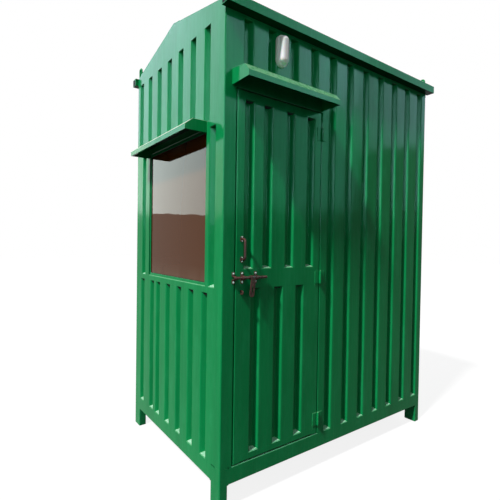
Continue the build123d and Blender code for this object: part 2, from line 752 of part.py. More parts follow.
def padlock_lug():
    """A plate standing out of the leaf, rounded at its end and drilled for a padlock."""
    half = LUG_SIDE / 2
    straight = LUG_REACH - half
    outline = Pos(straight / 2, 0) * Rectangle(straight, LUG_SIDE) + Pos(straight, 0) * Circle(half)
    outline -= Pos(straight, 0) * Circle(LUG_HOLE)
    plate = extrude(Plane.XZ * outline, LUG_THICKNESS / 2, both=True)
    return Pos(HALF_WIDTH, DOOR_FRONT + LUG_PLACE, ROD_Z - LUG_DROP) * plate


def door_pull():
    """A round bar bent into a D, flattened into a screwed foot at each end."""
    half = PULL_LENGTH / 2 - PULL_FOOT_LENGTH / 2
    bar = FilletPolyline(
        (0, -half), (PULL_REACH - PULL_ROD_RADIUS, -half), (PULL_REACH - PULL_ROD_RADIUS, half), (0, half),
        radius=PULL_BEND,
    )
    route = Plane.XZ * bar
    start = Plane((0, 0, -half), x_dir=(0, 1, 0), z_dir=(1, 0, 0))
    pull = sweep(start * flat_sided(PULL_ROD_RADIUS), path=route)
    foot = extrude(RectangleRounded(PULL_FOOT_WIDTH, PULL_FOOT_LENGTH, PULL_FOOT_WIDTH / 3), PULL_FOOT_SHEET)
    for z in (-half, half):
        pull += Plane((0, 0, z), x_dir=(0, 1, 0), z_dir=(1, 0, 0)) * foot
    return Pos(HALF_WIDTH, DOOR_FRONT + PULL_PLACE, ROD_Z + PULL_RISE) * pull


def lamp_plane(stand_off):
    """The plane of the lamp's outline on the wall over the door, its long axis upright."""
    place = (HALF_WIDTH + stand_off, DOOR_FRONT + LAMP_PLACE, OVER_DOOR + LAMP_RISE)
    return Plane(place, x_dir=(0, 0, 1), z_dir=(1, 0, 0))


def lamp_base():
    base = extrude(SlotOverall(LAMP_LENGTH, LAMP_WIDTH), LAMP_BASE)
    base = chamfer(base.faces().sort_by(Axis.Z)[-1].edges(), LAMP_BASE_EDGE)
    return lamp_plane(0) * base


def lamp_diffuser():
    """A domed cover in three drafts: a steep wall, a shoulder and a flat crown."""
    outline = SlotOverall(LAMP_LENGTH - 2 * DIFFUSER_RIM, LAMP_WIDTH - 2 * DIFFUSER_RIM)
    dome = extrude(outline, DIFFUSER_WALL, taper=DIFFUSER_DRAFT)
    for rise, draft in (
        (DIFFUSER_SHOULDER, DIFFUSER_SHOULDER_DRAFT),
        (DIFFUSER_CROWN, DIFFUSER_CROWN_DRAFT),
    ):
        dome += extrude(dome.faces().sort_by(Axis.Z)[-1], rise, taper=draft)
    return lamp_plane(LAMP_BASE) * dome


NODES = {
    "corner_legs": legs,
    "corner_posts": posts,
    "end_base_rails": end_base_rails,
    "side_base_rails": side_base_rails,
    "floor_joists": floor_joists,
    "floor_deck": floor_deck,
    "side_top_rails": side_top_rails,
    "end_top_rails": end_top_rails,
    "front_gable": lambda: gable(True),
    "rear_gable": lambda: gable(False),
    "left_roof": lambda: roof_slope(-1),
    "right_roof": lambda: roof_slope(1),
    "ridge_beam": ridge_beam,
    "ridge_cap": ridge_cap,
    "left_eave": lambda: eave(-1),
    "right_eave": lambda: eave(1),
    "lifting_loops": lifting_loops,
    "front_lower_panel": front_lower_panel,
    "front_upper_panel": front_upper_panel,
    "window_side_strips": window_side_strips,
    "sill_rail": sill_rail,
    "head_rail": head_rail,
    "window_bead": window_bead,
    "window_glass": window_glass,
    "window_awning": window_awning,
    "door_canopy": door_canopy,
    "right_wall_panel": right_wall_panel,
    "over_door_panel": over_door_panel,
    "left_wall_panel": left_wall_panel,
    "rear_wall_panel": rear_wall_panel,
    "door_jambs": door_jambs,
    "door_head": door_head,
    "lamp_base": lamp_base,
    "lamp_diffuser": lamp_diffuser,
    "jamb_hinge_leaves": jamb_hinge_leaves,
    "bolt_keeper": bolt_keeper,
    "door_frame": door_frame,
    "door_upper_panel": door_upper_panel,
    "door_lower_panel": door_lower_panel,
    "door_hinge_leaves": door_hinge_leaves,
    "door_pull": door_pull,
    "bolt_clips": bolt_clips,
    "padlock_lug": padlock_lug,
    "bolt_rod": bolt_rod,
    "bolt_hasp": bolt_hasp,
}

os.makedirs("parts", exist_ok=True)
for name, make in NODES.items():
    made = make()
    solids = made if isinstance(made, list) else [made]
    moved = [Pos(SHIFT_X, SHIFT_Y, 0) * solid for solid in solids]
    shape = moved[0] if len(moved) == 1 else Compound(children=moved)
    export_step(shape, f"parts/{name}.step")
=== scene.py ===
"""Dresses the steel guard booth: sheet waves, ground welds, fasteners, finishes, and a plain studio."""

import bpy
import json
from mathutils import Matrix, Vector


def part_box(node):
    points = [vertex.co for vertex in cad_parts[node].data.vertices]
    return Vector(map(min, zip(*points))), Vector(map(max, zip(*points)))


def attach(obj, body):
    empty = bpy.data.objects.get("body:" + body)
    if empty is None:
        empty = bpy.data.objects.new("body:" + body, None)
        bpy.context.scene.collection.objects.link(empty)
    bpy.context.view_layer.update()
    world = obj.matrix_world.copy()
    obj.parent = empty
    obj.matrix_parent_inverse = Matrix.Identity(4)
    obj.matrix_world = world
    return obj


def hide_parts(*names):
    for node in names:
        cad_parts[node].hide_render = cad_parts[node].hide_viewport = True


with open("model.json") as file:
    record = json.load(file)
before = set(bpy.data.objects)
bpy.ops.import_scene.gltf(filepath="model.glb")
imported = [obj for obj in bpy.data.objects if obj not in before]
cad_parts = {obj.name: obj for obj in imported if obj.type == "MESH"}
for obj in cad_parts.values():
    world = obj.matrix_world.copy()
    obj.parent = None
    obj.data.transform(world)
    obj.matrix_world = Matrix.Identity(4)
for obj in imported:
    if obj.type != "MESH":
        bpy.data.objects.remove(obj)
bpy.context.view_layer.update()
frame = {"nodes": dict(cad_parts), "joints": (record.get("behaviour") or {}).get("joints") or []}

import json
from math import cos, pi, radians, sin

import bmesh
import bpy
from bpy.props import FloatProperty, FloatVectorProperty, PointerProperty
from mathutils import Matrix, Vector, noise

bl_info = {
    "name": "Guard Booth Dressing",
    "version": (1, 0, 0),
    "blender": (4, 5, 0),
    "location": "View3D > Sidebar > Booth",
    "description": "Builds the visible guard booth around its solids",
    "category": "Object",
}

MM = 0.001

# Rounding of the edges of thin plate, folded sheet and glass
THIN_EDGE = 0.5 * MM

# The sheets' waves: how far apart the sheet is cut for them, and how far from its edges they fade
WAVE_STEP_UP = 0.075
WAVE_STEP_ACROSS = 0.045
WAVE_FADE = 0.05

# The weld spatter's seed: its noise would start from the clock without one, and fall elsewhere each run
SPATTER_SEED = 12

# Fillets and plugs in the grooves: how deep they reach, and their share of the groove's bottom
FILLET_REACH = 29 * MM
FILLET_BACK_SHARE = 0.66


def length_prop(name, text, default):
    """A length in metres that a user may change."""
    return FloatProperty(name=name, description=text, default=default, min=0.0, unit="LENGTH", precision=4)


def colour_prop(name, text, default):
    """A linear colour that a user may change."""
    return FloatVectorProperty(
        name=name, description=text, default=default, size=4, min=0, max=1, subtype="COLOR",
    )


def angle_prop(name, text, degrees):
    """An angle that a user may change."""
    return FloatProperty(name=name, description=text, default=radians(degrees), subtype="ANGLE")


def light_prop(name, text, default, unit="NONE"):
    """A lamp's brightness or power that a user may change."""
    return FloatProperty(name=name, description=text, default=default, min=0.0, unit=unit)


class BoothSizes(bpy.types.PropertyGroup):
    """Sizes of the dressing."""

    sheet_wave: length_prop("Sheet wave", "How far the thin sheet stands in and out of true", 1.3 * MM)
    rib_wander: length_prop("Rib wander", "How far a rib wanders sideways along its run", 2.0 * MM)
    lap_over_tube: length_prop("Lap over tube", "How far a sheet's edge goes over a tube's corner", 3.8 * MM)
    tube_round: length_prop("Tube round", "Rounding of both edges of a tube's eased corner", 1.5 * MM)
    bend_round: length_prop("Bend round", "Rounding of both edges of a sheet's bends", 1.4 * MM)
    edge_round: length_prop("Edge round", "Rounding of cut steel edges under paint", 0.8 * MM)
    fold_round: length_prop("Fold round", "Rounding of the folds of the eaves", 2.2 * MM)
    hood_round: length_prop("Hood round", "Rounding of the folds of the hoods", 9.0 * MM)
    seam_fill: length_prop("Seam fill", "Half the width of a ground weld between two tubes", 5.5 * MM)
    weld_radius: length_prop("Weld bead", "Radius of a weld bead left round", 2.3 * MM)
    ledge_rise: length_prop("Ledge rise", "How far a groove's foot fillet rises at its back", 11.0 * MM)
    head_radius: length_prop("Bolt head", "Radius of the bolt heads on the clips", 4.4 * MM)
    screw_radius: length_prop("Roof screw", "Radius of the roof screws", 5.0 * MM)
    board_gap: length_prop("Board gap", "Gap between two floor boards", 1.5 * MM)


class BoothColours(bpy.types.PropertyGroup):
    """Colours of the finishes."""

    green: colour_prop("Green enamel", "Gloss paint on all the steelwork", (0.0029, 0.240, 0.066, 1.0))
    green_dark: colour_prop("Thick enamel", "Where the enamel lies thicker", (0.0017, 0.194, 0.053, 1.0))
    green_pale: colour_prop("Chalked enamel", "Where brush marks have chalked", (0.023, 0.307, 0.114, 1.0))
    # Painted shade: a dark green that faces looking down are mixed towards, where shade falls under things.
    underside_shade: colour_prop("Undercoat", "Thin dark paint on what faces down", (0.0009, 0.045, 0.016, 1.0))
    # Partly settled dust and partly painted sheen: a pale colour for the light and sky falling on what faces
    # up.
    ledge_dust_and_sheen: colour_prop("Ledge", "Pale fillets at the feet of the grooves", (0.33, 0.57, 0.41, 1.0))
    # Real dust, and also the colour of the painted highlight along the awning's folds.
    dust_and_highlight: colour_prop("Dust", "Dust that settles on ledges", (0.50, 0.61, 0.48, 1.0))
    red: colour_prop("Red oxide", "Primer on the bolt and the pull", (0.088, 0.036, 0.028, 1.0))
    red_worn: colour_prop("Worn oxide", "Rubbed and dark places of the primer", (0.034, 0.017, 0.015, 1.0))
    zinc: colour_prop("Zinc", "Plated bolt heads", (0.30, 0.26, 0.24, 1.0))
    bronze: colour_prop("Bronze tint", "Body tint of the pane", (0.105, 0.031, 0.003, 1.0))
    grime: colour_prop("Grime", "Dried dust along the pane's foot", (0.31, 0.24, 0.17, 1.0))
    white: colour_prop("White moulding", "Lamp body", (0.80, 0.80, 0.79, 1.0))
    opal: colour_prop("Opal", "Lamp cover", (0.86, 0.86, 0.85, 1.0))
    board: colour_prop("Board", "Floor board", (0.34, 0.22, 0.12, 1.0))
    board_grain: colour_prop("Board grain", "Dark grain of the floor board", (0.16, 0.095, 0.055, 1.0))
    rubber: colour_prop("Rubber", "Glazing seal", (0.012, 0.012, 0.013, 1.0))


class BoothStage(bpy.types.PropertyGroup):
    """Camera and light."""

    camera_place: FloatVectorProperty(
        name="Camera place", description="Where the camera stands", size=3,
        default=(2.1947, -1.8749, 1.3697), subtype="TRANSLATION",
    )
    camera_turn: FloatVectorProperty(
        name="Camera turn", description="How the camera is turned", size=3,
        default=(radians(88.978), radians(-0.849), radians(53.979)), subtype="EULER",
    )
    lens: FloatProperty(
        name="Lens", description="Focal length in mm on a 36 mm sensor", default=27.611, min=1.0,
    )
    sun_strength: light_prop("Key", "Strength of the front light", 4.8)
    sun_height: angle_prop("Key height", "How high the front light stands", 52.0)
    sun_side: angle_prop("Key side", "How far the front light stands to the door's side", 11.5)
    sun_spread: angle_prop("Key spread", "How wide the front light looks", 5.0)
    left_sky: light_prop("Left sky", "Brightness of the panel the front wall mirrors", 9.8)
    side_sky: light_prop("Side sky", "Brightness of the panel beside the left one", 6.8)
    low_sky: light_prop("Low sky", "Brightness of the panel the pane mirrors", 6.4)
    right_sky: light_prop("Right sky", "Brightness of the panel the door mirrors", 11.1)
    high_sky: light_prop("High sky", "Brightness of the panel the wall over the door mirrors", 20.0)
    far_sky: light_prop("Far sky", "Brightness of the panel the wall's end mirrors", 7.5)
    near_sky: light_prop("Near sky", "Brightness of the panels the grooves mirror", 26.0)
    fill_power: light_prop("Fill", "Power of the fill beside the camera", 20.0, "POWER")
    rear_power: light_prop("Rear", "Power of the high rear light", 300.0, "POWER")
    ambient: light_prop("Ambient", "Strength of the light from all round", 0.22)


def sizes():
    """The sizes as they are set in the scene."""
    return bpy.context.scene.booth_sizes


def colours():
    """The colours as they are set in the scene."""
    return bpy.context.scene.booth_colours


class Finish:
    """A node material under construction, with a short way to add and join nodes."""

    def __init__(self, name):
        self.material = bpy.data.materials.new(name)
        self.material.use_nodes = True
        self.tree = self.material.node_tree
        self.shader = self.tree.nodes["Principled BSDF"]
        self.place = self.add("ShaderNodeTexCoord").outputs["Object"]

    def add(self, kind, settings=None, **sockets):
        """A node with its settings and its sockets, a socket's name with _ for a space."""
        made = self.tree.nodes.new(kind)
        for name, value in (settings or {}).items():
            setattr(made, name, value)
        for name, value in sockets.items():
            self.set(made.inputs[name.replace("_", " ")], value)
        return made

    def set(self, socket, value):
        """Links or sets a socket."""
        if isinstance(value, bpy.types.NodeSocket):
            self.tree.links.new(value, socket)
        else:
            socket.default_value = value

    def look(self, **sockets):
        """Links or sets sockets of the shader."""
        for name, value in sockets.items():
            self.set(self.shader.inputs[name.replace("_", " ")], value)

    def scaled(self, stretch):
        """The surface's place, stretched along its axes."""
        return self.add("ShaderNodeMapping", Vector=self.place, Scale=stretch).outputs["Vector"]

    def noise(self, scale, stretch=(1, 1, 1), detail=3.0, rough=0.5):
        """Cloudy noise; a stretch below 1 draws it out along that axis."""
        made = self.add("ShaderNodeTexNoise", Vector=self.scaled(stretch), Scale=scale, Detail=detail)
        made.inputs["Roughness"].default_value = rough
        return made.outputs["Fac"]

    def remap(self, value, low, high, to_low, to_high):
        """A value brought from one range to another, and held inside it."""
        made = self.add("ShaderNodeMapRange", Value=value)
        for name, number in zip(("From Min", "From Max", "To Min", "To Max"), (low, high, to_low, to_high)):
            made.inputs[name].default_value = number
        return made.outputs["Result"]

    def sums(self, operation, first, second):
        """One step of arithmetic."""
        made = self.add("ShaderNodeMath", {"operation": operation})
        self.set(made.inputs[0], first)
        self.set(made.inputs[1], second)
        return made.outputs["Value"]

    def mix(self, share, first, second):
        """Two colours mixed, with the second's share."""
        # Sockets of several kinds share a name, so the colours go by place: 6 and 7 in, 2 out
        made = self.add("ShaderNodeMix", {"data_type": "RGBA"})
        self.set(made.inputs[0], share)
        self.set(made.inputs[6], first)
        self.set(made.inputs[7], second)
        return made.outputs[2]

    def bump(self, height, strength, distance, under=None):
        """A normal roughened by a height, on top of another normal if there is one."""
        made = self.add("ShaderNodeBump", Height=height, Strength=strength, Distance=distance)
        if under is not None:
            self.set(made.inputs["Normal"], under)
        return made.outputs["Normal"]

    def facing_up(self, low, high):
        """A share that grows from 0 to 1 as the normal's rise goes from low to high."""
        normal = self.add("ShaderNodeNewGeometry").outputs["Normal"]
        split = self.add("ShaderNodeSeparateXYZ", Vector=normal)
        return self.remap(split.outputs["Z"], low, high, 0.0, 1.0)

    def height(self):
        """Height over the ground."""
        return self.add("ShaderNodeSeparateXYZ", Vector=self.place).outputs["Z"]


def gloss_enamel(name, soiled, under, shine=0.03, fold_highlight=0.0):
    """Brushed green gloss paint with runs and a wavy skin.

    Soiled is the dust on what faces up, under the share of painted shade that darkens what faces down,
    shine the strength of the gloss, and the last number a painted highlight along the folds, pale in the
    dust's colour.
    """
    paint = Finish(name)
    c = colours()
    runs = paint.noise(9.0, (1, 1, 0.12), 4.0, 0.6)
    strokes = paint.noise(64.0, (1, 1, 0.04), 3.0, 0.6)
    clouds = paint.noise(2.2, (1, 1, 0.6), 2.0)
    skin = paint.mix(paint.remap(runs, 0.35, 0.75, 0.0, 1.0), c.green, c.green_dark)
    blots = paint.noise(13.0, (1, 1, 0.35), 4.0, 0.62)
    chalked_strokes = paint.remap(strokes, 0.5, 0.85, 0.0, 0.35)
    chalk = paint.sums("ADD", chalked_strokes, paint.remap(blots, 0.5, 0.75, 0.0, 0.3))
    skin = paint.mix(chalk, skin, c.green_pale)
    speck = paint.noise(46.0, detail=6.0, rough=0.7)
    # Painted shade: faces that look down are darkened towards the underside colour, by the share that under
    # gives.
    skin = paint.mix(paint.sums("MULTIPLY", paint.facing_up(-0.4, -0.9), under), skin, c.underside_shade)
    settled = paint.sums("MULTIPLY", paint.facing_up(0.3, 0.75), paint.remap(speck, 0.3, 0.75, 0.1, soiled))
    splash = paint.remap(paint.height(), 0.0, 0.22, 0.07, 0.0)
    splash = paint.sums("MULTIPLY", splash, paint.remap(speck, 0.45, 0.75, 0.0, 1.0))
    dusty = paint.sums("MAXIMUM", settled, splash)
    # Painted highlight: a pale line in the dust's colour on slanted faces along the folds, where the sun
    # would glint.
    if fold_highlight:
        fold_line = paint.sums("MULTIPLY", paint.facing_up(0.04, 0.12), paint.facing_up(0.91, 0.85))
        dusty = paint.sums("MAXIMUM", dusty, paint.sums("MULTIPLY", fold_line, fold_highlight))
    paint.look(Base_Color=paint.mix(dusty, skin, c.dust_and_highlight))
    gloss = paint.remap(clouds, 0.3, 0.7, 0.09, 0.18)
    gloss = paint.sums("ADD", gloss, paint.remap(blots, 0.55, 0.75, 0.0, 0.12))
    paint.look(Roughness=paint.sums("ADD", gloss, paint.sums("MULTIPLY", dusty, 0.8)))
    waves = paint.bump(paint.noise(5.0, (1, 1, 0.5), 1.0), 0.42, 0.004)
    sags = paint.bump(paint.noise(23.0, (1, 1, 0.45), 2.0), 0.5, 0.0016, waves)
    brushed = paint.bump(strokes, 0.05, 0.0006, sags)
    peel = paint.bump(paint.noise(170.0, detail=1.0), 0.05, 0.0006, brushed)
    paint.look(Normal=peel, Specular_IOR_Level=shine)
    return paint.material


def ledge_fillet():
    """Sealant at the feet of the grooves, painted over; its pale colour is partly settled dust and partly
    painted sheen of the light on what faces up.
    """
    paint = Finish("ledge_fillet")
    c = colours()
    blot = paint.remap(paint.noise(85.0, detail=4.0, rough=0.65), 0.35, 0.7, 0.0, 0.55)
    paint.look(Base_Color=paint.mix(blot, c.ledge_dust_and_sheen, c.green), Specular_IOR_Level=0.04)
    paint.look(Roughness=paint.remap(blot, 0.0, 0.55, 0.7, 0.45))
    paint.look(Normal=paint.bump(paint.noise(140.0, detail=3.0), 0.3, 0.001))
    return paint.material


def red_oxide():
    """Matt primer on forged steel, rubbed dark in places."""
    paint = Finish("red_oxide_primer")
    c = colours()
    patches = paint.remap(paint.noise(45.0, detail=4.0, rough=0.65), 0.42, 0.68, 0.0, 1.0)
    paint.look(Base_Color=paint.mix(patches, c.red, c.red_worn), Specular_IOR_Level=0.06)
    paint.look(Roughness=paint.remap(patches, 0.0, 1.0, 0.55, 0.36))
    paint.look(Normal=paint.bump(paint.noise(220.0, detail=3.0), 0.25, 0.0006))
    return paint.material


def zinc_plate():
    """Dull plated heads."""
    metal = Finish("zinc_plate")
    c = colours()
    bloom = metal.noise(160.0, detail=3.0)
    metal.look(Base_Color=metal.mix(metal.remap(bloom, 0.4, 0.7, 0.0, 0.5), c.zinc, c.dust_and_highlight))
    metal.look(Metallic=0.35, Roughness=metal.remap(bloom, 0.3, 0.7, 0.4, 0.6), Specular_IOR_Level=0.1)
    return metal.material


def bronze_glass():
    """Bronze pane: slightly wavy, wiped in streaks, with grime along its foot."""
    glass = Finish("bronze_glass")
    c = colours()
    streak = glass.noise(14.0, (1.0, 1.0, 0.08), 3.0)
    foot = glass.remap(glass.height(), 1.08, 1.24, 0.30, 0.0)
    grime = glass.sums("MULTIPLY", foot, glass.remap(streak, 0.3, 0.7, 0.3, 1.0))
    glass.look(Base_Color=glass.mix(grime, c.bronze, c.grime), Transmission_Weight=0.3)
    glass.look(Roughness=glass.remap(streak, 0.3, 0.7, 0.004, 0.035), Specular_IOR_Level=0.019)
    glass.look(Normal=glass.bump(glass.noise(4.0, (1.0, 1.0, 1.6), 2.0), 0.14, 0.003))
    return glass.material


def plain_plastic(name, colour, rough, soiled, glow=0.0):
    """Moulded plastic or rubber with a faint grain and some dust."""
    plastic = Finish(name)
    grain = plastic.noise(60.0, detail=2.0)
    aged = plastic.mix(plastic.remap(grain, 0.35, 0.75, 0.0, soiled), colour, colours().dust_and_highlight)
    plastic.look(Base_Color=aged, Roughness=plastic.remap(grain, 0.3, 0.7, rough, rough + 0.1))
    plastic.look(Normal=plastic.bump(plastic.noise(300.0, detail=1.0), 0.04, 0.0004), Specular_IOR_Level=0.03)
    if glow:
        plastic.look(Subsurface_Weight=glow, Subsurface_Scale=0.01)
    return plastic.material


def floor_board():
    """Plywood with long grain and foot dust."""
    board = Finish("floor_plywood")
    c = colours()
    grain = board.noise(26.0, (1.0, 0.06, 1.0), 5.0, 0.62)
    dusty = board.remap(board.noise(4.0, detail=3.0), 0.4, 0.7, 0.0, 0.35)
    wood = board.mix(board.remap(grain, 0.3, 0.72, 0.0, 0.6), c.board, c.board_grain)
    board.look(Base_Color=board.mix(dusty, wood, c.dust_and_highlight), Roughness=0.65)
    board.look(Normal=board.bump(grain, 0.15, 0.0008))
    return board.material


FINISHES = {
    # Each enamel's numbers are its dust, the share of painted shade on what faces down, and its gloss; the
    # awning's last number is a painted highlight along its folds.
    "green_enamel": lambda: gloss_enamel("green_gloss_enamel", 0.2, 0.45),
    "canopy_enamel": lambda: gloss_enamel("dusty_gloss_enamel", 0.42, 1.0),
    "awning_enamel": lambda: gloss_enamel("fold_highlight_gloss_enamel", 0.42, 1.0, fold_highlight=0.95),
    "eave_enamel": lambda: gloss_enamel("shaded_gloss_enamel", 0.2, 1.0, 0.0165),
    "ledge_fillet": ledge_fillet,
    "red_oxide": red_oxide,
    "zinc": zinc_plate,
    "tinted_glass": bronze_glass,
    "white_plastic": lambda: plain_plastic("white_moulding", colours().white, 0.45, 0.16),
    "opal_plastic": lambda: plain_plastic("opal_cover", colours().opal, 0.62, 0.1, 0.3),
    "rubber": lambda: plain_plastic("rubber_seal", colours().rubber, 0.6, 0.02),
    "floor_board": floor_board,
}
made_finishes = {}


def finish(name):
    """The named finish, made once."""
    if name not in made_finishes:
        made_finishes[name] = FINISHES[name]()
    return made_finishes[name]


def merged_copy(node):
    """A node's mesh with its loose triangles merged into whole faces."""
    bm = bmesh.new()
    bm.from_mesh(frame["nodes"][node].data)
    bmesh.ops.remove_doubles(bm, verts=bm.verts, dist=0.02 * MM)
    bmesh.ops.dissolve_limit(
        bm, angle_limit=radians(0.6), use_dissolve_boundaries=False, verts=bm.verts, edges=bm.edges
    )
    return bm


def bevel_edges(bm, edges, width, segments=2):
    """Rounds a choice of edges."""
    bmesh.ops.bevel(
        bm, geom=edges, offset=width, offset_type="OFFSET", segments=segments, profile=0.5,
        affect="EDGES", clamp_overlap=True, material=-1,
    )


def round_edges(bm, width, least=40.0):
    """Bevels every edge that is sharper than a number of degrees."""
    sharp = [e for e in bm.edges if len(e.link_faces) == 2 and e.calc_face_angle() > radians(least)]
    bevel_edges(bm, sharp, width)


def round_folds(bm, width):
    """Bevels the outer side of folds between two broad faces, and leaves the cut edges."""
    folds = []
    for edge in bm.edges:
        if len(edge.link_faces) == 2 and edge.calc_face_angle_signed() > radians(15):
            length = edge.calc_length()
            if min(face.calc_area() for face in edge.link_faces) > 3 * width * length:
                folds.append(edge)
    bevel_edges(bm, folds, width, 4)


def into_piece(bm, name, body, slot, finish_name=None, nodes=(), crease=32.0):
    """Turns a bmesh into a finished piece that rides on a body and stands for its nodes."""
    for face in bm.faces:
        face.smooth = True
    for edge in bm.edges:
        edge.smooth = len(edge.link_faces) == 2 and edge.calc_face_angle() < radians(crease)
    mesh = bpy.data.meshes.new(name)
    bm.to_mesh(mesh)
    bm.free()
    piece = bpy.data.objects.new(name, mesh)
    bpy.context.scene.collection.objects.link(piece)
    mesh.materials.append(finish(finish_name or slot))
    shading = piece.modifiers.new("broad_faces_stay_flat", "WEIGHTED_NORMAL")
    shading.keep_sharp = True
    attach(piece, body)
    if nodes:
        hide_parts(*nodes)


def spans(node, axis, gap):
    """Low and high ends of a node's separate parts along an axis."""
    places = sorted(vert.co[axis] for vert in frame["nodes"][node].data.vertices)
    found = [[places[0], places[0]]]
    for place in places:
        if place - found[-1][1] > gap:
            found.append([place, place])
        found[-1][1] = place
    return found


def dress(node, name, body="booth", slot="green_enamel", width=None):
    """A node as a finished piece with rounded cut edges."""
    bm = merged_copy(node)
    round_edges(bm, sizes().edge_round if width is None else width)
    into_piece(bm, name, body, slot, nodes=[node])


def fold(node, name, width, finish_name):
    """A folded sheet with its folds rounded and its cut edges eased."""
    bm = merged_copy(node)
    round_folds(bm, width)
    round_edges(bm, THIN_EDGE, 60.0)
    into_piece(bm, name, "booth", "green_enamel", finish_name, [node])


def add_block(bm, low, high):
    """A block from its lowest to its highest corner."""
    low, high = Vector(low), Vector(high)
    size = high - low
    place = Matrix.Translation((low + high) / 2) @ Matrix.Diagonal((size.x, size.y, size.z, 1))
    bmesh.ops.create_cube(bm, size=1.0, matrix=place)


def facing(direction, place):
    """A matrix that stands a shape made along Z on a place, facing a direction."""
    turn = Vector((0, 0, 1)).rotation_difference(Vector(direction)).to_matrix().to_4x4()
    return Matrix.Translation(place) @ turn


def add_head(bm, place, direction, radius, height, sides=6, turn=0.0):
    """A bolt head on a washer, with its top edge eased."""
    stand = facing(direction, place) @ Matrix.Rotation(turn, 4, "Z")
    plate, washer, chamfer = height * 0.3, radius * 1.35, height * 0.22
    bmesh.ops.create_cone(
        bm, cap_ends=True, segments=18, radius1=washer, radius2=washer * 0.96,
        depth=plate, matrix=stand @ Matrix.Translation((0, 0, plate / 2)),
    )
    bmesh.ops.create_cone(
        bm, cap_ends=True, segments=sides, radius1=radius, radius2=radius,
        depth=height, matrix=stand @ Matrix.Translation((0, 0, plate + height / 2)),
    )
    bmesh.ops.create_cone(
        bm, cap_ends=True, segments=sides, radius1=radius, radius2=radius * 0.72,
        depth=chamfer, matrix=stand @ Matrix.Translation((0, 0, plate + height + chamfer / 2)),
    )


def add_dome(bm, place, direction, radius, height):
    """A domed head that sits half sunk in its place."""
    stand = facing(direction, place) @ Matrix.Diagonal((radius, radius, height, 1))
    bmesh.ops.create_uvsphere(bm, u_segments=18, v_segments=10, radius=1.0, matrix=stand)


def add_rod(bm, start, direction, radius, moves):
    """A round bar: a move is a straight run, or a centre, axis and angle for a bend."""
    ring = bmesh.ops.create_circle(bm, segments=18, radius=radius, matrix=facing(direction, start))["verts"]
    edges = list(dict.fromkeys(edge for vert in ring for edge in vert.link_edges))
    bmesh.ops.contextual_create(bm, geom=edges)
    for move in moves:
        if isinstance(move, Vector):
            grown = bmesh.ops.extrude_edge_only(bm, edges=edges)["geom"]
            moved = [part for part in grown if isinstance(part, bmesh.types.BMVert)]
            bmesh.ops.translate(bm, verts=moved, vec=move)
        else:
            centre, axis, angle = move
            bent = bmesh.ops.spin(
                bm, geom=edges, cent=centre, axis=axis, angle=angle, steps=12,
                use_merge=False, use_duplicate=False,
            )
            grown = bent["geom_last"]
        edges = [part for part in grown if isinstance(part, bmesh.types.BMEdge)]
    bmesh.ops.contextual_create(bm, geom=edges)


def add_oval(bm, low, high, rise, steps):
    """A round-ended moulding on the door wall: a wall of some rise, then inset and lift for each step."""
    width, length = high.y - low.y, high.z - low.z
    middle = (low + high) / 2
    stand = Matrix(((0, 0, 1, low.x), (0, -1, 0, middle.y), (1, 0, 0, middle.z), (0, 0, 0, 1)))
    rim = bmesh.ops.create_circle(bm, cap_ends=True, segments=62, radius=width / 2)["verts"]
    top = rim[0].link_faces[0]
    for vert in rim:
        vert.co.x += (length - width) / 2 if vert.co.x > 0 else (width - length) / 2
    bmesh.ops.transform(bm, matrix=stand, verts=rim)
    top.normal_update()
    grown = bmesh.ops.extrude_face_region(bm, geom=[top], use_keep_orig=True)["geom"]
    top = next(part for part in grown if isinstance(part, bmesh.types.BMFace))
    bmesh.ops.translate(bm, verts=top.verts, vec=(rise, 0, 0))
    for inset, lift in steps:
        top.normal_update()
        bmesh.ops.inset_region(bm, faces=[top], thickness=inset, depth=lift, use_even_offset=True)


def add_bead(bm, start, end, radius, seed):
    """A weld bead: a row of overlapping domes along a line."""
    start, end = Vector(start), Vector(end)
    run = end - start
    count = max(2, int(run.length / (radius * 0.9)))
    for i in range(count + 1):
        wobble = noise.noise(Vector((i * 0.73, seed, 0.0)))
        place = start + run * (i / count)
        size = radius * (1.0 + 0.22 * wobble)
        bmesh.ops.create_icosphere(bm, subdivisions=1, radius=size, matrix=Matrix.Translation(place))


def cut_across(bm, axis, low, high, step):
    """Cuts a mesh by evenly spaced planes across one axis."""
    count = int((high - low) / step)
    normal = Vector((0, 0, 0))
    normal[axis] = 1.0
    for i in range(1, count):
        place = Vector((0, 0, 0))
        place[axis] = low + (high - low) * i / count
        geom = bm.verts[:] + bm.edges[:] + bm.faces[:]
        bmesh.ops.bisect_plane(bm, geom=geom, dist=0.01 * MM, plane_co=place, plane_no=normal)


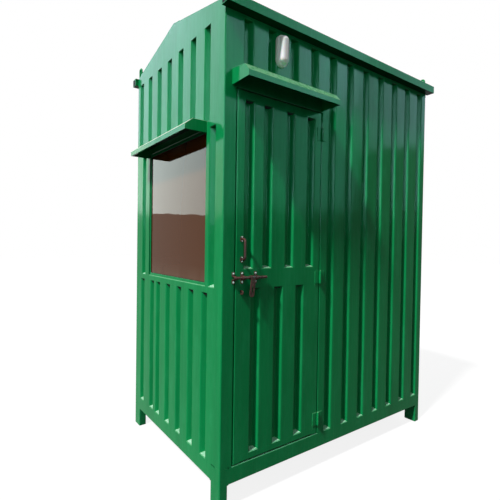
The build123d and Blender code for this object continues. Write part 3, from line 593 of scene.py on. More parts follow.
def wavy_sheet(node, name, across, out, seed, body="booth"):
    """A ribbed sheet carried over its tubes' corners and waved in and out of true.

    Across is the axis that the ribs follow each other along, out the side that the face looks to,
    and the seed makes each sheet's waves its own.
    """
    bm = merged_copy(node)
    low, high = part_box(node)
    s = sizes()
    folded = [edge for edge in bm.edges if len(edge.link_faces) == 2]
    bends = [edge for edge in folded if radians(15) < edge.calc_face_angle() < radians(50)]
    bevel_edges(bm, bends, s.bend_round)
    for vert in bm.verts:
        for axis in (across, 2):
            if vert.co[axis] < low[axis] + MM:
                vert.co[axis] -= s.lap_over_tube
            elif vert.co[axis] > high[axis] - MM:
                vert.co[axis] += s.lap_over_tube
    cut_across(bm, 2, low.z, high.z, WAVE_STEP_UP)
    cut_across(bm, across, low[across], high[across], WAVE_STEP_ACROSS)
    for vert in bm.verts:
        u, z = vert.co[across], vert.co.z
        edge = min(u - low[across], high[across] - u, z - low.z, high.z - z)
        hold = min(max(edge / WAVE_FADE, 0.0), 1.0)
        swell = noise.noise(Vector((u * 5.0 + seed, z * 2.4, seed * 1.7)))
        drift = noise.noise(Vector((u * 7.0 - seed, z * 3.1, seed + 9.2)))
        vert.co[1 - across] += out * s.sheet_wave * swell * hold
        vert.co[across] += s.rib_wander * drift * hold
    into_piece(bm, name, body, "green_enamel", nodes=[node], crease=50.0)


def bend_places(node, across, depth):
    """Where a sheet's bends meet its face or its back."""
    verts = frame["nodes"][node].data.vertices
    found = []
    for place in sorted(v.co[across] for v in verts if abs(v.co[1 - across] - depth) < 0.2 * MM):
        if not found or place - found[-1] > 0.2 * MM:
            found.append(place)
    return found


def grooves(node, across, out):
    """Face, middle, mouth and bottom width of each groove of a ribbed sheet."""
    low, high = (corner[1 - across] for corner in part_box(node))
    face, back = (high, low) if out > 0 else (low, high)
    lips, roots = bend_places(node, across, face), bend_places(node, across, back)
    for start, end in zip(roots[0::2], roots[1::2]):
        left = max(place for place in lips if place < start)
        right = min(place for place in lips if place > end)
        yield face, (start + end) / 2, right - left, end - start


def add_fillet(bm, across, out, groove, front, heights):
    """A block in a groove: how deep and wide it starts, then its foot, front edge and back edge."""
    face, middle, mouth, root = groove
    inset, share = front
    for vert in bmesh.ops.create_cube(bm, size=2.0)["verts"]:
        side, inward, top = vert.co
        near = inward < 0
        vert.co[across] = middle + side * (mouth * share if near else root * FILLET_BACK_SHARE)
        vert.co[1 - across] = face - out * (inset if near else FILLET_REACH)
        vert.co.z = heights[0] if top < 0 else heights[1 if near else 2]


class BOOTH_OT_frame_tubes(bpy.types.Operator):
    """Legs, posts, rails, jambs and beams of the welded frame"""

    bl_idname = "booth.frame_tubes"
    bl_label = "Frame tubes"

    def execute(self, context):
        tubes = {
            "corner_legs": "legs", "corner_posts": "posts", "end_base_rails": "base_rails_ends",
            "side_base_rails": "base_rails_sides", "floor_joists": "joists",
            "side_top_rails": "top_rails_sides", "end_top_rails": "top_rails_ends",
            "ridge_beam": "ridge_tube", "sill_rail": "sill_tube", "head_rail": "head_tube",
            "door_jambs": "jamb_tubes", "door_head": "door_head_tube",
        }
        for node, name in tubes.items():
            dress(node, name, width=sizes().tube_round)
        return {"FINISHED"}


class BOOTH_OT_wall_sheets(bpy.types.Operator):
    """Ribbed sheets of the four walls"""

    bl_idname = "booth.wall_sheets"
    bl_label = "Wall sheets"

    def execute(self, context):
        for sheet in (
            ("front_lower_panel", "sheet_under_window", 0, -1, 1.0),
            ("front_upper_panel", "sheet_over_window", 0, -1, 2.0),
            ("window_side_strips", "sheets_beside_window", 0, -1, 3.0),
            ("rear_wall_panel", "sheet_rear", 0, 1, 4.0),
            ("right_wall_panel", "sheet_beside_door", 1, 1, 5.0),
            ("over_door_panel", "sheet_over_door", 1, 1, 6.0),
            ("left_wall_panel", "sheet_left", 1, -1, 7.0),
        ):
            wavy_sheet(*sheet)
        return {"FINISHED"}


class BOOTH_OT_door_leaf(bpy.types.Operator):
    """The door's frame and its two ribbed sheets"""

    bl_idname = "booth.door_leaf"
    bl_label = "Door leaf"

    def execute(self, context):
        dress("door_frame", "leaf_frame", "door", width=sizes().tube_round)
        wavy_sheet("door_upper_panel", "leaf_sheet_upper", 1, 1, 8.0, "door")
        wavy_sheet("door_lower_panel", "leaf_sheet_lower", 1, 1, 9.0, "door")
        return {"FINISHED"}


class BOOTH_OT_roof(bpy.types.Operator):
    """Gable plates, roof sheets, ridge, eaves, lifting loops and roof screws"""

    bl_idname = "booth.roof"
    bl_label = "Roof"

    def execute(self, context):
        s = sizes()
        for node, name in (("front_gable", "gable_front"), ("rear_gable", "gable_rear")):
            dress(node, name, width=THIN_EDGE)
        sheets = ("left_roof", "roof_left"), ("right_roof", "roof_right"), ("ridge_cap", "ridge_fold")
        for node, name in sheets:
            into_piece(merged_copy(node), name, "booth", "green_enamel", nodes=[node])
        for node, name in (("left_eave", "eave_left"), ("right_eave", "eave_right")):
            fold(node, name, s.fold_round, "eave_enamel")
        self.paint_end_shade()
        self.add_loops()
        self.add_screws(s.screw_radius)
        return {"FINISHED"}

    def paint_end_shade(self):
        """Dark plates on the ends of the eaves, inside a narrow rim: painted shade standing for open ends in
        shadow.
        """
        bm = bmesh.new()
        rim, skin = Vector((5 * MM, 0, 5 * MM)), 0.6 * MM
        for node in ("left_eave", "right_eave"):
            low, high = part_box(node)
            for y in (low.y, high.y):
                start, end = low + rim, high - rim
                start.y, end.y = y - skin, y + skin
                add_block(bm, start, end)
        round_edges(bm, 0.3 * MM)
        into_piece(bm, "eave_end_shade_plates", "booth", "green_enamel", "rubber")

    def add_loops(self):
        """Bent rods that come up through the roof's corners, sealed round their legs."""
        bm, welds = bmesh.new(), bmesh.new()
        foot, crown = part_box("lifting_loops")[0].z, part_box("lifting_loops")[1].z
        low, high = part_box("right_roof")
        fall = (high.z - low.z) / (high.x - low.x)
        ridge = (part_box("left_roof")[0].x + high.x) / 2
        for y0, y1 in spans("lifting_loops", 1, 0.2):
            for x0, x1 in spans("lifting_loops", 0, 0.2):
                radius = (y1 - y0) / 2
                middle = Vector(((x0 + x1) / 2, (y0 + y1) / 2, crown - (x1 - x0) / 2))
                bend = (x1 - x0) / 2 - radius
                rise = Vector((0, 0, middle.z - foot))
                start = middle - rise - Vector((bend, 0, 0))
                add_rod(bm, start, (0, 0, 1), radius, (rise, (middle, (0, 1, 0), pi), -rise))
                for x in (x0 + radius, x1 - radius):
                    land = high.z - MM - (abs(x - ridge) - (low.x - ridge)) * fall
                    self.ring_weld(welds, Vector((x, middle.y, land)), radius + MM)
        bmesh.ops.recalc_face_normals(bm, faces=bm.faces)
        into_piece(bm, "lifting_rods", "booth", "green_enamel", nodes=["lifting_loops"], crease=50.0)
        into_piece(welds, "lifting_rod_seals", "booth", "green_enamel", crease=70.0)

    def ring_weld(self, bm, place, radius):
        """A ring of overlapping drops round a rod."""
        size, drops = sizes().weld_radius, 12
        for i in range(drops):
            angle = 2 * pi * i / drops
            shift = Vector((cos(angle), sin(angle), 0)) * radius
            grown = size * (1.0 + 0.2 * noise.noise(Vector((i * 0.9, place.x, place.y))))
            stand = Matrix.Translation(place + shift)
            bmesh.ops.create_icosphere(bm, subdivisions=1, radius=grown, matrix=stand)

    def add_screws(self, radius):
        """Screws through the lands of both slopes, in three rows."""
        bm = bmesh.new()
        low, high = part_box("right_roof")
        slope_rise = (high.z - low.z) / (high.x - low.x)
        lean = Vector((slope_rise, 0, 1)).normalized()
        middle = (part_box("left_roof")[0].x + high.x) / 2
        rows, columns, sink = (0.12, 0.5, 0.78), 12, 0.9 * MM
        for row in rows:
            for i in range(columns):
                y = low.y + (high.y - low.y) * (i + 0.5) / columns
                run = (high.x - low.x) * row
                z = high.z - sink - (run + (low.x - middle)) * slope_rise
                for side in (-1, 1):
                    place = Vector((middle + side * (low.x - middle + run), y, z))
                    add_head(bm, place, (side * lean.x, 0, lean.z), radius, radius * 0.8, turn=i * 0.4 + row)
        into_piece(bm, "roof_screws", "booth", "green_enamel", "zinc")


class BOOTH_OT_window(bpy.types.Operator):
    """Window bead, pane and glazing seal"""

    bl_idname = "booth.window"
    bl_label = "Window"

    def execute(self, context):
        dress("window_bead", "glazing_bead")
        bm = merged_copy("window_glass")
        round_edges(bm, THIN_EDGE)
        into_piece(bm, "pane", "booth", "tinted_glass", nodes=["window_glass"])
        self.add_seal()
        return {"FINISHED"}

    def add_seal(self):
        """A rubber seal between bead and pane, on the outside and the inside."""
        bm = bmesh.new()
        low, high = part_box("window_glass")
        outer_low, outer_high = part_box("window_bead")
        edge = (low.x - outer_low.x) * 2
        width, thick, tuck = 3.0 * MM, 2.2 * MM, 0.5 * MM
        x0, x1 = outer_low.x + edge - tuck, outer_high.x - edge + tuck
        z0, z1 = outer_low.z + edge - tuck, outer_high.z - edge + tuck
        for y0, y1 in ((low.y - thick, low.y), (high.y, high.y + thick)):
            add_block(bm, (x0, y0, z0), (x0 + width, y1, z1))
            add_block(bm, (x1 - width, y0, z0), (x1, y1, z1))
            add_block(bm, (x0 + width, y0, z0), (x1 - width, y1, z0 + width))
            add_block(bm, (x0 + width, y0, z1 - width), (x1 - width, y1, z1))
        round_edges(bm, 0.6 * MM)
        into_piece(bm, "glazing_seal", "booth", "green_enamel", "rubber")


class BOOTH_OT_hoods(bpy.types.Operator):
    """Folded awning over the window and canopy over the door"""

    bl_idname = "booth.hoods"
    bl_label = "Hoods"

    def execute(self, context):
        fold("window_awning", "awning_fold", sizes().hood_round, "awning_enamel")
        fold("door_canopy", "canopy_fold", sizes().hood_round, "canopy_enamel")
        bm = bmesh.new()
        self.close_grooves(bm, "front_upper_panel", 0, -1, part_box("window_awning")[1].z)
        self.close_grooves(bm, "over_door_panel", 1, 1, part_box("door_canopy")[1].z)
        bmesh.ops.recalc_face_normals(bm, faces=bm.faces)
        into_piece(bm, "hood_closers", "booth", "green_enamel")
        return {"FINISHED"}

    def close_grooves(self, bm, panel, across, out, z):
        """Plugs that close the grooves of a sheet behind a hood's top edge."""
        front, below, tuck, slope = (0.1 * MM, 0.5), 5 * MM, 0.5 * MM, 9 * MM
        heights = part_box(panel)[0].z - below, z - tuck, z + slope
        for groove in grooves(panel, across, out):
            add_fillet(bm, across, out, groove, front, heights)


class BOOTH_OT_hinges(bpy.types.Operator):
    """Butt hinges with pin heads and weld beads"""

    bl_idname = "booth.hinges"
    bl_label = "Hinges"

    def execute(self, context):
        dress("jamb_hinge_leaves", "hinge_leaves_jamb", width=THIN_EDGE)
        dress("door_hinge_leaves", "hinge_leaves_door", "door", width=THIN_EDGE)
        hinge = next(joint for joint in frame["joints"] if joint["name"] == "door_hinge")
        pins = bmesh.new()
        radius = (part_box("jamb_hinge_leaves")[1].x - hinge["pos_m"][0]) * 0.72
        heights = spans("jamb_hinge_leaves", 2, 0.2)
        for low, high in heights:
            for z in (low, high):
                add_dome(pins, (*hinge["pos_m"][:2], z), (0, 0, 1), radius, radius * 0.6)
        into_piece(pins, "hinge_pin_heads", "booth", "green_enamel", crease=60.0)
        self.weld("hinge_welds_jamb", "booth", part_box("jamb_hinge_leaves")[1].y, heights)
        self.weld("hinge_welds_door", "door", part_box("door_hinge_leaves")[0].y, heights)
        return {"FINISHED"}

    def weld(self, name, body, y, heights):
        """Beads down the outer edge of each leaf, with a few drops of spatter."""
        bm = bmesh.new()
        noise.seed_set(SPATTER_SEED)
        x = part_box("jamb_hinge_leaves")[0].x
        size, inset = sizes().weld_radius, 5 * MM
        drops, drop_below, drop_spread = 9, 10 * MM, 26 * MM
        for low, high in heights:
            add_bead(bm, (x, y, low + inset), (x, y, high - inset), size, low)
            for i in range(drops):
                drift = noise.noise_vector(Vector((i * 1.9, y * 7.0, low))) * drop_spread
                place = Vector((x, y + drift.y, low - drop_below + drift.z))
                add_dome(bm, place, (1, 0, 0), size * 0.6, size * 0.5)
        into_piece(bm, name, body, "green_enamel", crease=70.0)


class BOOTH_OT_slide_bolt(bpy.types.Operator):
    """Slide bolt with clips, keeper, hasp, lug and bolt heads"""

    bl_idname = "booth.slide_bolt"
    bl_label = "Slide bolt"

    def execute(self, context):
        for node, name, body in (
            ("bolt_rod", "slide_rod", "bolt"), ("bolt_hasp", "hasp_tail", "hasp"),
            ("bolt_clips", "clip_straps", "door"), ("padlock_lug", "lug_plate", "door"),
            ("bolt_keeper", "keeper_strap", "booth"),
        ):
            dress(node, name, body, "red_oxide", 0.6 * MM)
        keeper_low, keeper_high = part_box("bolt_keeper")
        half = (keeper_high.y - keeper_low.y) / 2
        clips_low, clips_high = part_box("bolt_clips")
        self.add_bolts("bolt_clips", "clip_bolts", "door", (clips_low.y + half, clips_high.y - half))
        self.add_bolts("bolt_keeper", "keeper_bolts", "booth", (keeper_low.y + half,))
        return {"FINISHED"}

    def add_bolts(self, node, name, body, rows):
        """A bolt through each foot of the straps that stand in some rows."""
        bm = bmesh.new()
        low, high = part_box(node)
        inset, foot, dome_lift = 9 * MM, 3.5 * MM, Vector((2 * MM, 0, 0))
        radius = sizes().head_radius
        for y in rows:
            for z in (low.z + inset, high.z - inset):
                face = Vector((low.x + foot, y, z))
                add_head(bm, face, (1, 0, 0), radius, 1.5 * MM, 18)
                add_dome(bm, face + dome_lift, (1, 0, 0), radius * 0.9, 2.6 * MM)
        into_piece(bm, name, body, "red_oxide", "zinc")


class BOOTH_OT_pull(bpy.types.Operator):
    """Door pull and its screws"""

    bl_idname = "booth.pull"
    bl_label = "Door pull"

    def execute(self, context):
        low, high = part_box("door_pull")
        bm, screws = bmesh.new(), bmesh.new()
        feet = spans("door_pull", 2, 0.05)
        middles = [(z0 + z1) / 2 for z0, z1 in feet]
        y = (low.y + high.y) / 2
        radius, bend = 6 * MM, 14 * MM
        out = Vector((high.x - low.x - radius - bend, 0, 0))
        up = Vector((0, 0, middles[1] - middles[0] - 2 * bend))
        turns = [Vector((low.x + out.x, y, z)) for z in (middles[0] + bend, middles[1] - bend)]
        moves = (out, (turns[0], (0, 1, 0), -pi / 2), up, (turns[1], (0, 1, 0), -pi / 2), -out)
        add_rod(bm, (low.x, y, middles[0]), (1, 0, 0), radius, moves)
        plate_rise, plate_steps = 2.4 * MM, ((0.5 * MM, 0.4 * MM), (0.9 * MM, 0.3 * MM))
        screw_inset, screw_face = 5 * MM, low.x + 3 * MM
        for z0, z1 in feet:
            corners = Vector((low.x, low.y, z0)), Vector((low.x, high.y, z1))
            add_oval(bm, *corners, plate_rise, plate_steps)
            for z in (z0 + screw_inset, z1 - screw_inset):
                add_dome(screws, (screw_face, y, z), (1, 0, 0), 3.4 * MM, 1.4 * MM)
        bmesh.ops.recalc_face_normals(bm, faces=bm.faces)
        into_piece(bm, "pull_bar", "door", "red_oxide", nodes=["door_pull"], crease=50.0)
        into_piece(screws, "pull_screws", "door", "red_oxide", "zinc", crease=60.0)
        return {"FINISHED"}


class BOOTH_OT_lamp(bpy.types.Operator):
    """Bulkhead lamp over the door"""

    bl_idname = "booth.lamp"
    bl_label = "Lamp"

    def execute(self, context):
        base_low, base_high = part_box("lamp_base")
        bm = bmesh.new()
        base_round = 3 * MM
        base_steps = self.rounding(base_round, base_round, 4)
        add_oval(bm, base_low, base_high, base_high.x - base_low.x - base_round, base_steps)
        self.keep(bm, "lamp_body", "white_plastic", ["lamp_base"])
        low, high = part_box("lamp_diffuser")
        bm = bmesh.new()
        lip, wall = 3 * MM, 12 * MM
        add_oval(bm, low - Vector((MM, 0, 0)), high, lip, ((0.4 * MM, 0.6 * MM), (2.6 * MM, 0.3 * MM)))
        inner = Vector((0, lip, lip))
        crown = self.rounding((high.y - low.y) * 0.36, high.x - low.x - wall, 9)
        add_oval(bm, low + inner, high - inner, wall, crown)
        self.keep(bm, "lamp_cover", "opal_plastic", ["lamp_diffuser"])
        screws = bmesh.new()
        inset, y = 4.2 * MM, (base_low.y + base_high.y) / 2
        for z in (base_low.z + inset, base_high.z - inset):
            add_dome(screws, (base_high.x - 0.4 * MM, y, z), (1, 0, 0), 2.6 * MM, 1.3 * MM)
        into_piece(screws, "lamp_screws", "booth", "white_plastic", "rubber", crease=60.0)
        return {"FINISHED"}

    def rounding(self, inset, lift, count):
        """Steps round a quarter of an oval."""
        angles = [pi / 2 * i / count for i in range(count + 1)]
        return [
            (inset * (cos(a) - cos(b)), lift * (sin(b) - sin(a))) for a, b in zip(angles, angles[1:])
        ]

    def keep(self, bm, name, slot, nodes):
        """Turns a moulding's faces outwards and makes it a piece."""
        bmesh.ops.recalc_face_normals(bm, faces=bm.faces)
        into_piece(bm, name, "booth", slot, nodes=nodes, crease=50.0)


class BOOTH_OT_floor(bpy.types.Operator):
    """Floor deck"""

    bl_idname = "booth.floor"
    bl_label = "Floor"

    def execute(self, context):
        low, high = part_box("floor_deck")
        count, gap = 3, sizes().board_gap / 2
        edges = [low.x + (high.x - low.x) * i / count for i in range(count + 1)]
        for i, (start, end) in enumerate(zip(edges, edges[1:])):
            bm = bmesh.new()
            left, right = start + gap * (i > 0), end - gap * (i < count - 1)
            add_block(bm, (left, low.y, low.z), (right, high.y, high.z))
            cut_across(bm, 1, low.y, high.y, 0.2)
            round_edges(bm, MM)
            into_piece(bm, f"deck_board_{i + 1}", "booth", "floor_board", nodes=["floor_deck"])
        return {"FINISHED"}


class BOOTH_OT_ledges(bpy.types.Operator):
    """Fillets at the feet of the grooves and dark blocks of painted shade in their heads"""

    bl_idname = "booth.ledges"
    bl_label = "Ledges"

    def execute(self, context):
        self.fill_feet("ledge_fillets", "booth", (
            ("front_lower_panel", 0, -1), ("window_side_strips", 0, -1), ("rear_wall_panel", 0, 1),
            ("right_wall_panel", 1, 1), ("left_wall_panel", 1, -1),
        ))
        leaf_panels = ("door_upper_panel", 1, 1), ("door_lower_panel", 1, 1)
        self.fill_feet("leaf_ledge_fillets", "door", leaf_panels)
        self.paint_head_shade("groove_head_shade_blocks", "booth", (("front_lower_panel", 0, -1),), 11 * MM)
        self.paint_head_shade("leaf_groove_head_shade_blocks", "door", leaf_panels, 5 * MM)
        return {"FINISHED"}

    def paint_head_shade(self, name, body, panels, height):
        """Dark blocks set back in the heads of the grooves: painted shade for the deep shadow there."""
        bm = bmesh.new()
        front, tuck = (11 * MM, 0.38), 0.5 * MM
        for node, across, out in panels:
            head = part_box(node)[1].z
            for groove in grooves(node, across, out):
                add_fillet(bm, across, out, groove, front, (head - height, head + tuck, head + tuck))
        bmesh.ops.recalc_face_normals(bm, faces=bm.faces)
        into_piece(bm, name, body, "green_enamel", "rubber")

    def fill_feet(self, name, body, panels):
        """Sloping fillets on the tubes, thin in front and high at the back of the groove."""
        bm = bmesh.new()
        front, tuck, lip = (4 * MM, 0.42), 0.5 * MM, 0.6 * MM
        for node, across, out in panels:
            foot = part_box(node)[0].z
            heights = (foot - tuck, foot + lip, foot + sizes().ledge_rise)
            for groove in grooves(node, across, out):
                add_fillet(bm, across, out, groove, front, heights)
        bmesh.ops.recalc_face_normals(bm, faces=bm.faces)
        into_piece(bm, name, body, "green_enamel", "ledge_fillet")


class BOOTH_OT_ground_welds(bpy.types.Operator):
    """Ground welds that fill the seams between tubes flush"""

    bl_idname = "booth.ground_welds"
    bl_label = "Ground welds"

    def execute(self, context):
        self.width = sizes().seam_fill
        self.depth = 4.0 * MM
        self.sink = 0.05 * MM
        self.booth_seams()
        self.leaf_seams()
        return {"FINISHED"}

    def fill(self, bm, axis, side, plane, low, high):
        """A block flush with a face: axis is the face's, low and high the ends along the two others."""
        others = [i for i in range(3) if i != axis]
        start, end = Vector((0, 0, 0)), Vector((0, 0, 0))
        edge = plane - side * self.sink
        start[axis], end[axis] = sorted((edge, edge - side * self.depth))
        for place, a, b in zip(others, low, high):
            start[place], end[place] = min(a, b), max(a, b)
        add_block(bm, start, end)

    def upright(self, bm, axis, side, plane, place, z):
        """A seam that runs up a face."""
        self.fill(bm, axis, side, plane, (place - self.width, z[0]), (place + self.width, z[1]))

    def level(self, bm, axis, side, plane, span, z):
        """A seam that runs along a face."""
        self.fill(bm, axis, side, plane, (span[0], z - self.width), (span[1], z + self.width))

    def booth_seams(self):
        """Seams of the booth's legs, posts, rails and jambs."""
        bm = bmesh.new()
        ends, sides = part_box("end_base_rails"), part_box("side_base_rails")
        legs, posts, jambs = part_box("corner_legs"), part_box("corner_posts"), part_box("door_jambs")
        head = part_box("door_head")
        rail_z = (ends[0].z, ends[1].z)
        for side, plane in ((-1, legs[0].y), (1, legs[1].y)):
            for x in (ends[0].x, ends[1].x):
                self.upright(bm, 1, side, plane, x, rail_z)
        for side, plane in ((-1, legs[0].x), (1, legs[1].x)):
            for y in (sides[0].y, sides[1].y):
                self.upright(bm, 0, side, plane, y, rail_z)
            for span in ((posts[0].y, sides[0].y), (sides[1].y, posts[1].y)):
                self.level(bm, 0, side, plane, span, posts[1].z)
        for node in ("sill_rail", "head_rail"):
            low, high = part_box(node)
            for x in (low.x, high.x):
                self.upright(bm, 1, -1, low.y, x, (low.z, high.z))
        right = legs[1].x
        self.upright(bm, 0, 1, right, jambs[0].y, (jambs[0].z, jambs[1].z))
        for y in (head[0].y, head[1].y):
            self.upright(bm, 0, 1, right, y, (head[0].z, head[1].z))
        inset = 5 * MM
        for span in ((jambs[0].y, head[0].y - inset), (head[1].y + inset, jambs[1].y)):
            self.level(bm, 0, 1, right, span, jambs[0].z)
        into_piece(bm, "seams_ground", "booth", "green_enamel")
        self.leg_welds(legs, ends, sides)

    def leg_welds(self, legs, ends, sides):
        """Beads under the base rails where they meet the legs."""
        bm = bmesh.new()
        inset, size = 5 * MM, sizes().weld_radius * 1.5
        for x in (ends[0].x, ends[1].x):
            for y0, y1 in ((legs[0].y, sides[0].y), (sides[1].y, legs[1].y)):
                add_bead(bm, (x, y0 + inset, ends[0].z), (x, y1 - inset, ends[0].z), size, x + y0)
        for y in (sides[0].y, sides[1].y):
            for x0, x1 in ((legs[0].x, ends[0].x), (ends[1].x, legs[1].x)):
                add_bead(bm, (x0 + inset, y, sides[0].z), (x1 - inset, y, sides[0].z), size, y + x0)
        into_piece(bm, "leg_welds", "booth", "green_enamel", crease=70.0)

    def leaf_seams(self):
        """Seams of the door's stiles and rails."""
        bm = bmesh.new()
        frame_low, frame_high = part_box("door_frame")
        upper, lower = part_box("door_upper_panel"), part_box("door_lower_panel")
        inset = 2 * MM
        rails = (
            (frame_low.z + inset, lower[0].z), (lower[1].z, upper[0].z), (upper[1].z, frame_high.z - inset),
        )
        for y in (upper[0].y, upper[1].y):
            for z in rails:
                self.upright(bm, 0, 1, frame_high.x, y, z)
        into_piece(bm, "leaf_seams_ground", "door", "green_enamel")


class BOOTH_OT_stage(bpy.types.Operator):
    """Pale floor, soft lights, white surroundings and the camera"""

    bl_idname = "booth.stage"
    bl_label = "Stage"

    def execute(self, context):
        scene = context.scene
        stage = scene.booth_stage
        scene.view_settings.view_transform = "Standard"
        self.make_world(scene, stage)
        self.make_floor(scene)
        self.make_sun(scene, stage)
        # The camera's places in the mirror of the front wall and of the door wall, and the near corner
        front_mirror, door_mirror, near_corner = (2.19, 0.15, 1.37), (-1.06, -1.87, 1.37), (0.4, -0.8, 1.37)
        pale, grey, blue, mild = (0.66, 0.81, 1.0), (0.83, 0.97, 0.92), (0.46, 0.88, 1.0), (0.25, 1.0, 0.79)
        for panel in (
            ("left_sky", (-4.934, -4.054, 4.915), front_mirror, (1.75, 3.04), stage.left_sky, pale),
            ("side_sky", (-5.586, -2.672, 4.915), front_mirror, (1.32, 3.04), stage.side_sky, pale),
            ("low_sky", (-5.806, -3.749, 2.755), front_mirror, (3.2, 1.5), stage.low_sky, grey),
            ("right_sky", (4.713, 3.009, 2.991), door_mirror, (2.72, 1.94), stage.right_sky, mild),
            ("high_sky", (4.197, 2.573, 4.873), door_mirror, (2.72, 2.06), stage.high_sky, blue),
            ("far_sky", (2.971, 4.708, 4.82), door_mirror, (2.06, 3.2), stage.far_sky, blue),
            ("near_sky", (6.1, -4.5, 3.7), near_corner, (3.4, 4.0), stage.near_sky, blue),
            ("front_sky", (3.37, -6.75, 3.8), near_corner, (3.5, 3.2), stage.near_sky, blue),
        ):
            self.make_panel(scene, *panel)
        self.make_light(scene, "fill_light", (3.4, -4.0, 2.7), (0.4, 0.0, 1.3), 3.0, stage.fill_power)
        self.make_light(scene, "rear_light", (-4.6, 5.2, 5.0), (0.0, 0.0, 1.3), 4.0, stage.rear_power)
        self.make_camera(scene, stage)
        return {"FINISHED"}

    def seen_rays(self, tree):
        """1 for rays that come from the camera, a gloss or a pane, else 0."""
        path = tree.nodes.new("ShaderNodeLightPath")
        total = path.outputs["Is Camera Ray"]
        for name in ("Is Glossy Ray", "Is Transmission Ray"):
            joined = tree.nodes.new("ShaderNodeMath")
            joined.operation = "MAXIMUM"
            tree.links.new(total, joined.inputs[0])
            tree.links.new(path.outputs[name], joined.inputs[1])
            total = joined.outputs["Value"]
        return total

    def make_world(self, scene, stage):
        """Soft light from all round, in front of plain white."""
        world = bpy.data.worlds.new("white_surroundings")
        scene.world = world
        world.use_nodes = True
        tree = world.node_tree
        ambient = tree.nodes["Background"]
        ambient.inputs["Color"].default_value = (0.94, 0.97, 1.0, 1.0)
        ambient.inputs["Strength"].default_value = stage.ambient
        white = tree.nodes.new("ShaderNodeBackground")
        white.inputs["Color"].default_value = (1, 1, 1, 1)
        white.inputs["Strength"].default_value = 1.0
        mix = tree.nodes.new("ShaderNodeMixShader")
        tree.links.new(self.seen_rays(tree), mix.inputs["Fac"])
        tree.links.new(ambient.outputs["Background"], mix.inputs[1])
        tree.links.new(white.outputs["Background"], mix.inputs[2])
        tree.links.new(mix.outputs["Shader"], tree.nodes["World Output"].inputs["Surface"])

    def make_floor(self, scene):
        """A wide pale floor that is nearly white to the eye and throws little light up."""
        bm = bmesh.new()
        bmesh.ops.create_grid(bm, x_segments=4, y_segments=4, size=30.0)
        mesh = bpy.data.meshes.new("pale_floor")
        bm.to_mesh(mesh)
        bm.free()
        floor = bpy.data.objects.new("pale_floor", mesh)
        scene.collection.objects.link(floor)
        material = bpy.data.materials.new("pale_floor")
        material.use_nodes = True
        tree = material.node_tree
        shader = tree.nodes["Principled BSDF"]
        shader.inputs["Roughness"].default_value = 1.0
        shader.inputs["Specular IOR Level"].default_value = 0.0
        shader.inputs["Emission Color"].default_value = (1, 1, 1, 1)
        seen = self.seen_rays(tree)
        # Each socket has one value for rays that are not seen, and that much more for seen ones
        for socket, unseen, rise in (("Emission Strength", 0.0, 0.86), ("Base Color", 0.04, 0.08)):
            tone = tree.nodes.new("ShaderNodeMath")
            tone.operation = "MULTIPLY_ADD"
            tree.links.new(seen, tone.inputs[0])
            tone.inputs[1].default_value, tone.inputs[2].default_value = rise, unseen
            tree.links.new(tone.outputs["Value"], shader.inputs[socket])
        mesh.materials.append(material)

    def hang(self, scene, kind, name, place, aim):
        """A lamp of some kind at a place, turned to an aim."""
        light = bpy.data.objects.new(name, bpy.data.lights.new(name, kind))
        scene.collection.objects.link(light)
        light.location = place
        light.rotation_euler = (Vector(place) - Vector(aim)).to_track_quat("Z", "Y").to_euler()
        return light

    def make_sun(self, scene, stage):
        """The key: a far lamp that stands high in front, a little to the door's side."""
        rise, side = stage.sun_height, stage.sun_side
        toward = Vector((sin(side) * cos(rise), -cos(side) * cos(rise), sin(rise)))
        light = self.hang(scene, "SUN", "key_light", toward * 8.0, (0, 0, 0))
        light.data.energy = stage.sun_strength
        light.data.angle = stage.sun_spread

    def make_panel(self, scene, name, place, aim, size, brightness, colour):
        """A pale panel that shows in gloss alone, with its brightness whatever its size."""
        light = self.hang(scene, "AREA", name, place, aim)
        light.data.shape = "RECTANGLE"
        light.data.size, light.data.size_y = size
        light.data.energy = brightness * pi * size[0] * size[1]
        light.data.color = colour
        light.visible_diffuse = False
        light.visible_transmission = False
        light.visible_camera = False

    def make_light(self, scene, name, place, aim, size, power):
        """A broad square lamp."""
        light = self.hang(scene, "AREA", name, place, aim)
        light.data.shape = "SQUARE"
        light.data.size = size
        light.data.energy = power

    def make_camera(self, scene, stage):
        """The camera at its place, with its own lens."""
        data = bpy.data.cameras.new("camera")
        data.sensor_width = 36.0
        data.lens = stage.lens
        camera = bpy.data.objects.new("camera", data)
        scene.collection.objects.link(camera)
        camera.location = stage.camera_place
        camera.rotation_euler = stage.camera_turn
        scene.camera = camera


class BOOTH_PT_panel(bpy.types.Panel):
    """The booth's steps in the sidebar"""

    bl_label = "Guard Booth"
    bl_idname = "BOOTH_PT_panel"
    bl_space_type = "VIEW_3D"
    bl_region_type = "UI"
    bl_category = "Booth"

    def draw(self, context):
        for step in STEPS:
            self.layout.operator(step.bl_idname)


STEPS = (
    BOOTH_OT_stage, BOOTH_OT_frame_tubes, BOOTH_OT_wall_sheets, BOOTH_OT_door_leaf, BOOTH_OT_roof,
    BOOTH_OT_window, BOOTH_OT_hoods, BOOTH_OT_hinges, BOOTH_OT_slide_bolt, BOOTH_OT_pull, BOOTH_OT_lamp,
    BOOTH_OT_floor, BOOTH_OT_ledges, BOOTH_OT_ground_welds,
)
GROUPS = (("booth_sizes", BoothSizes), ("booth_colours", BoothColours), ("booth_stage", BoothStage))


def register():
    """Adds the property groups, the operators and the panel."""
    for name, group in GROUPS:
        bpy.utils.register_class(group)
        setattr(bpy.types.Scene, name, PointerProperty(type=group))
    for step in (*STEPS, BOOTH_PT_panel):
        bpy.utils.register_class(step)


def unregister():
    """Takes away what register adds, in reverse order."""
    for step in (BOOTH_PT_panel, *reversed(STEPS)):
        bpy.utils.unregister_class(step)
    for name, group in reversed(GROUPS):
        delattr(bpy.types.Scene, name)
        bpy.utils.unregister_class(group)


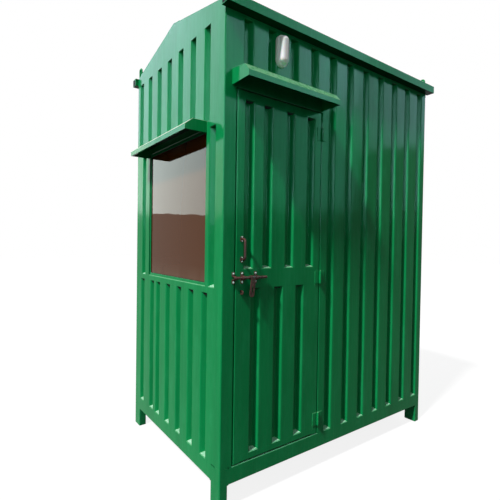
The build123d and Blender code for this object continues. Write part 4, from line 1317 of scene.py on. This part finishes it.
def main():
    """Builds the stage and all the pieces."""
    register()
    for step in STEPS:
        family, action = step.bl_idname.split(".")
        getattr(getattr(bpy.ops, family), action)()


if __name__ == "__main__":
    main()
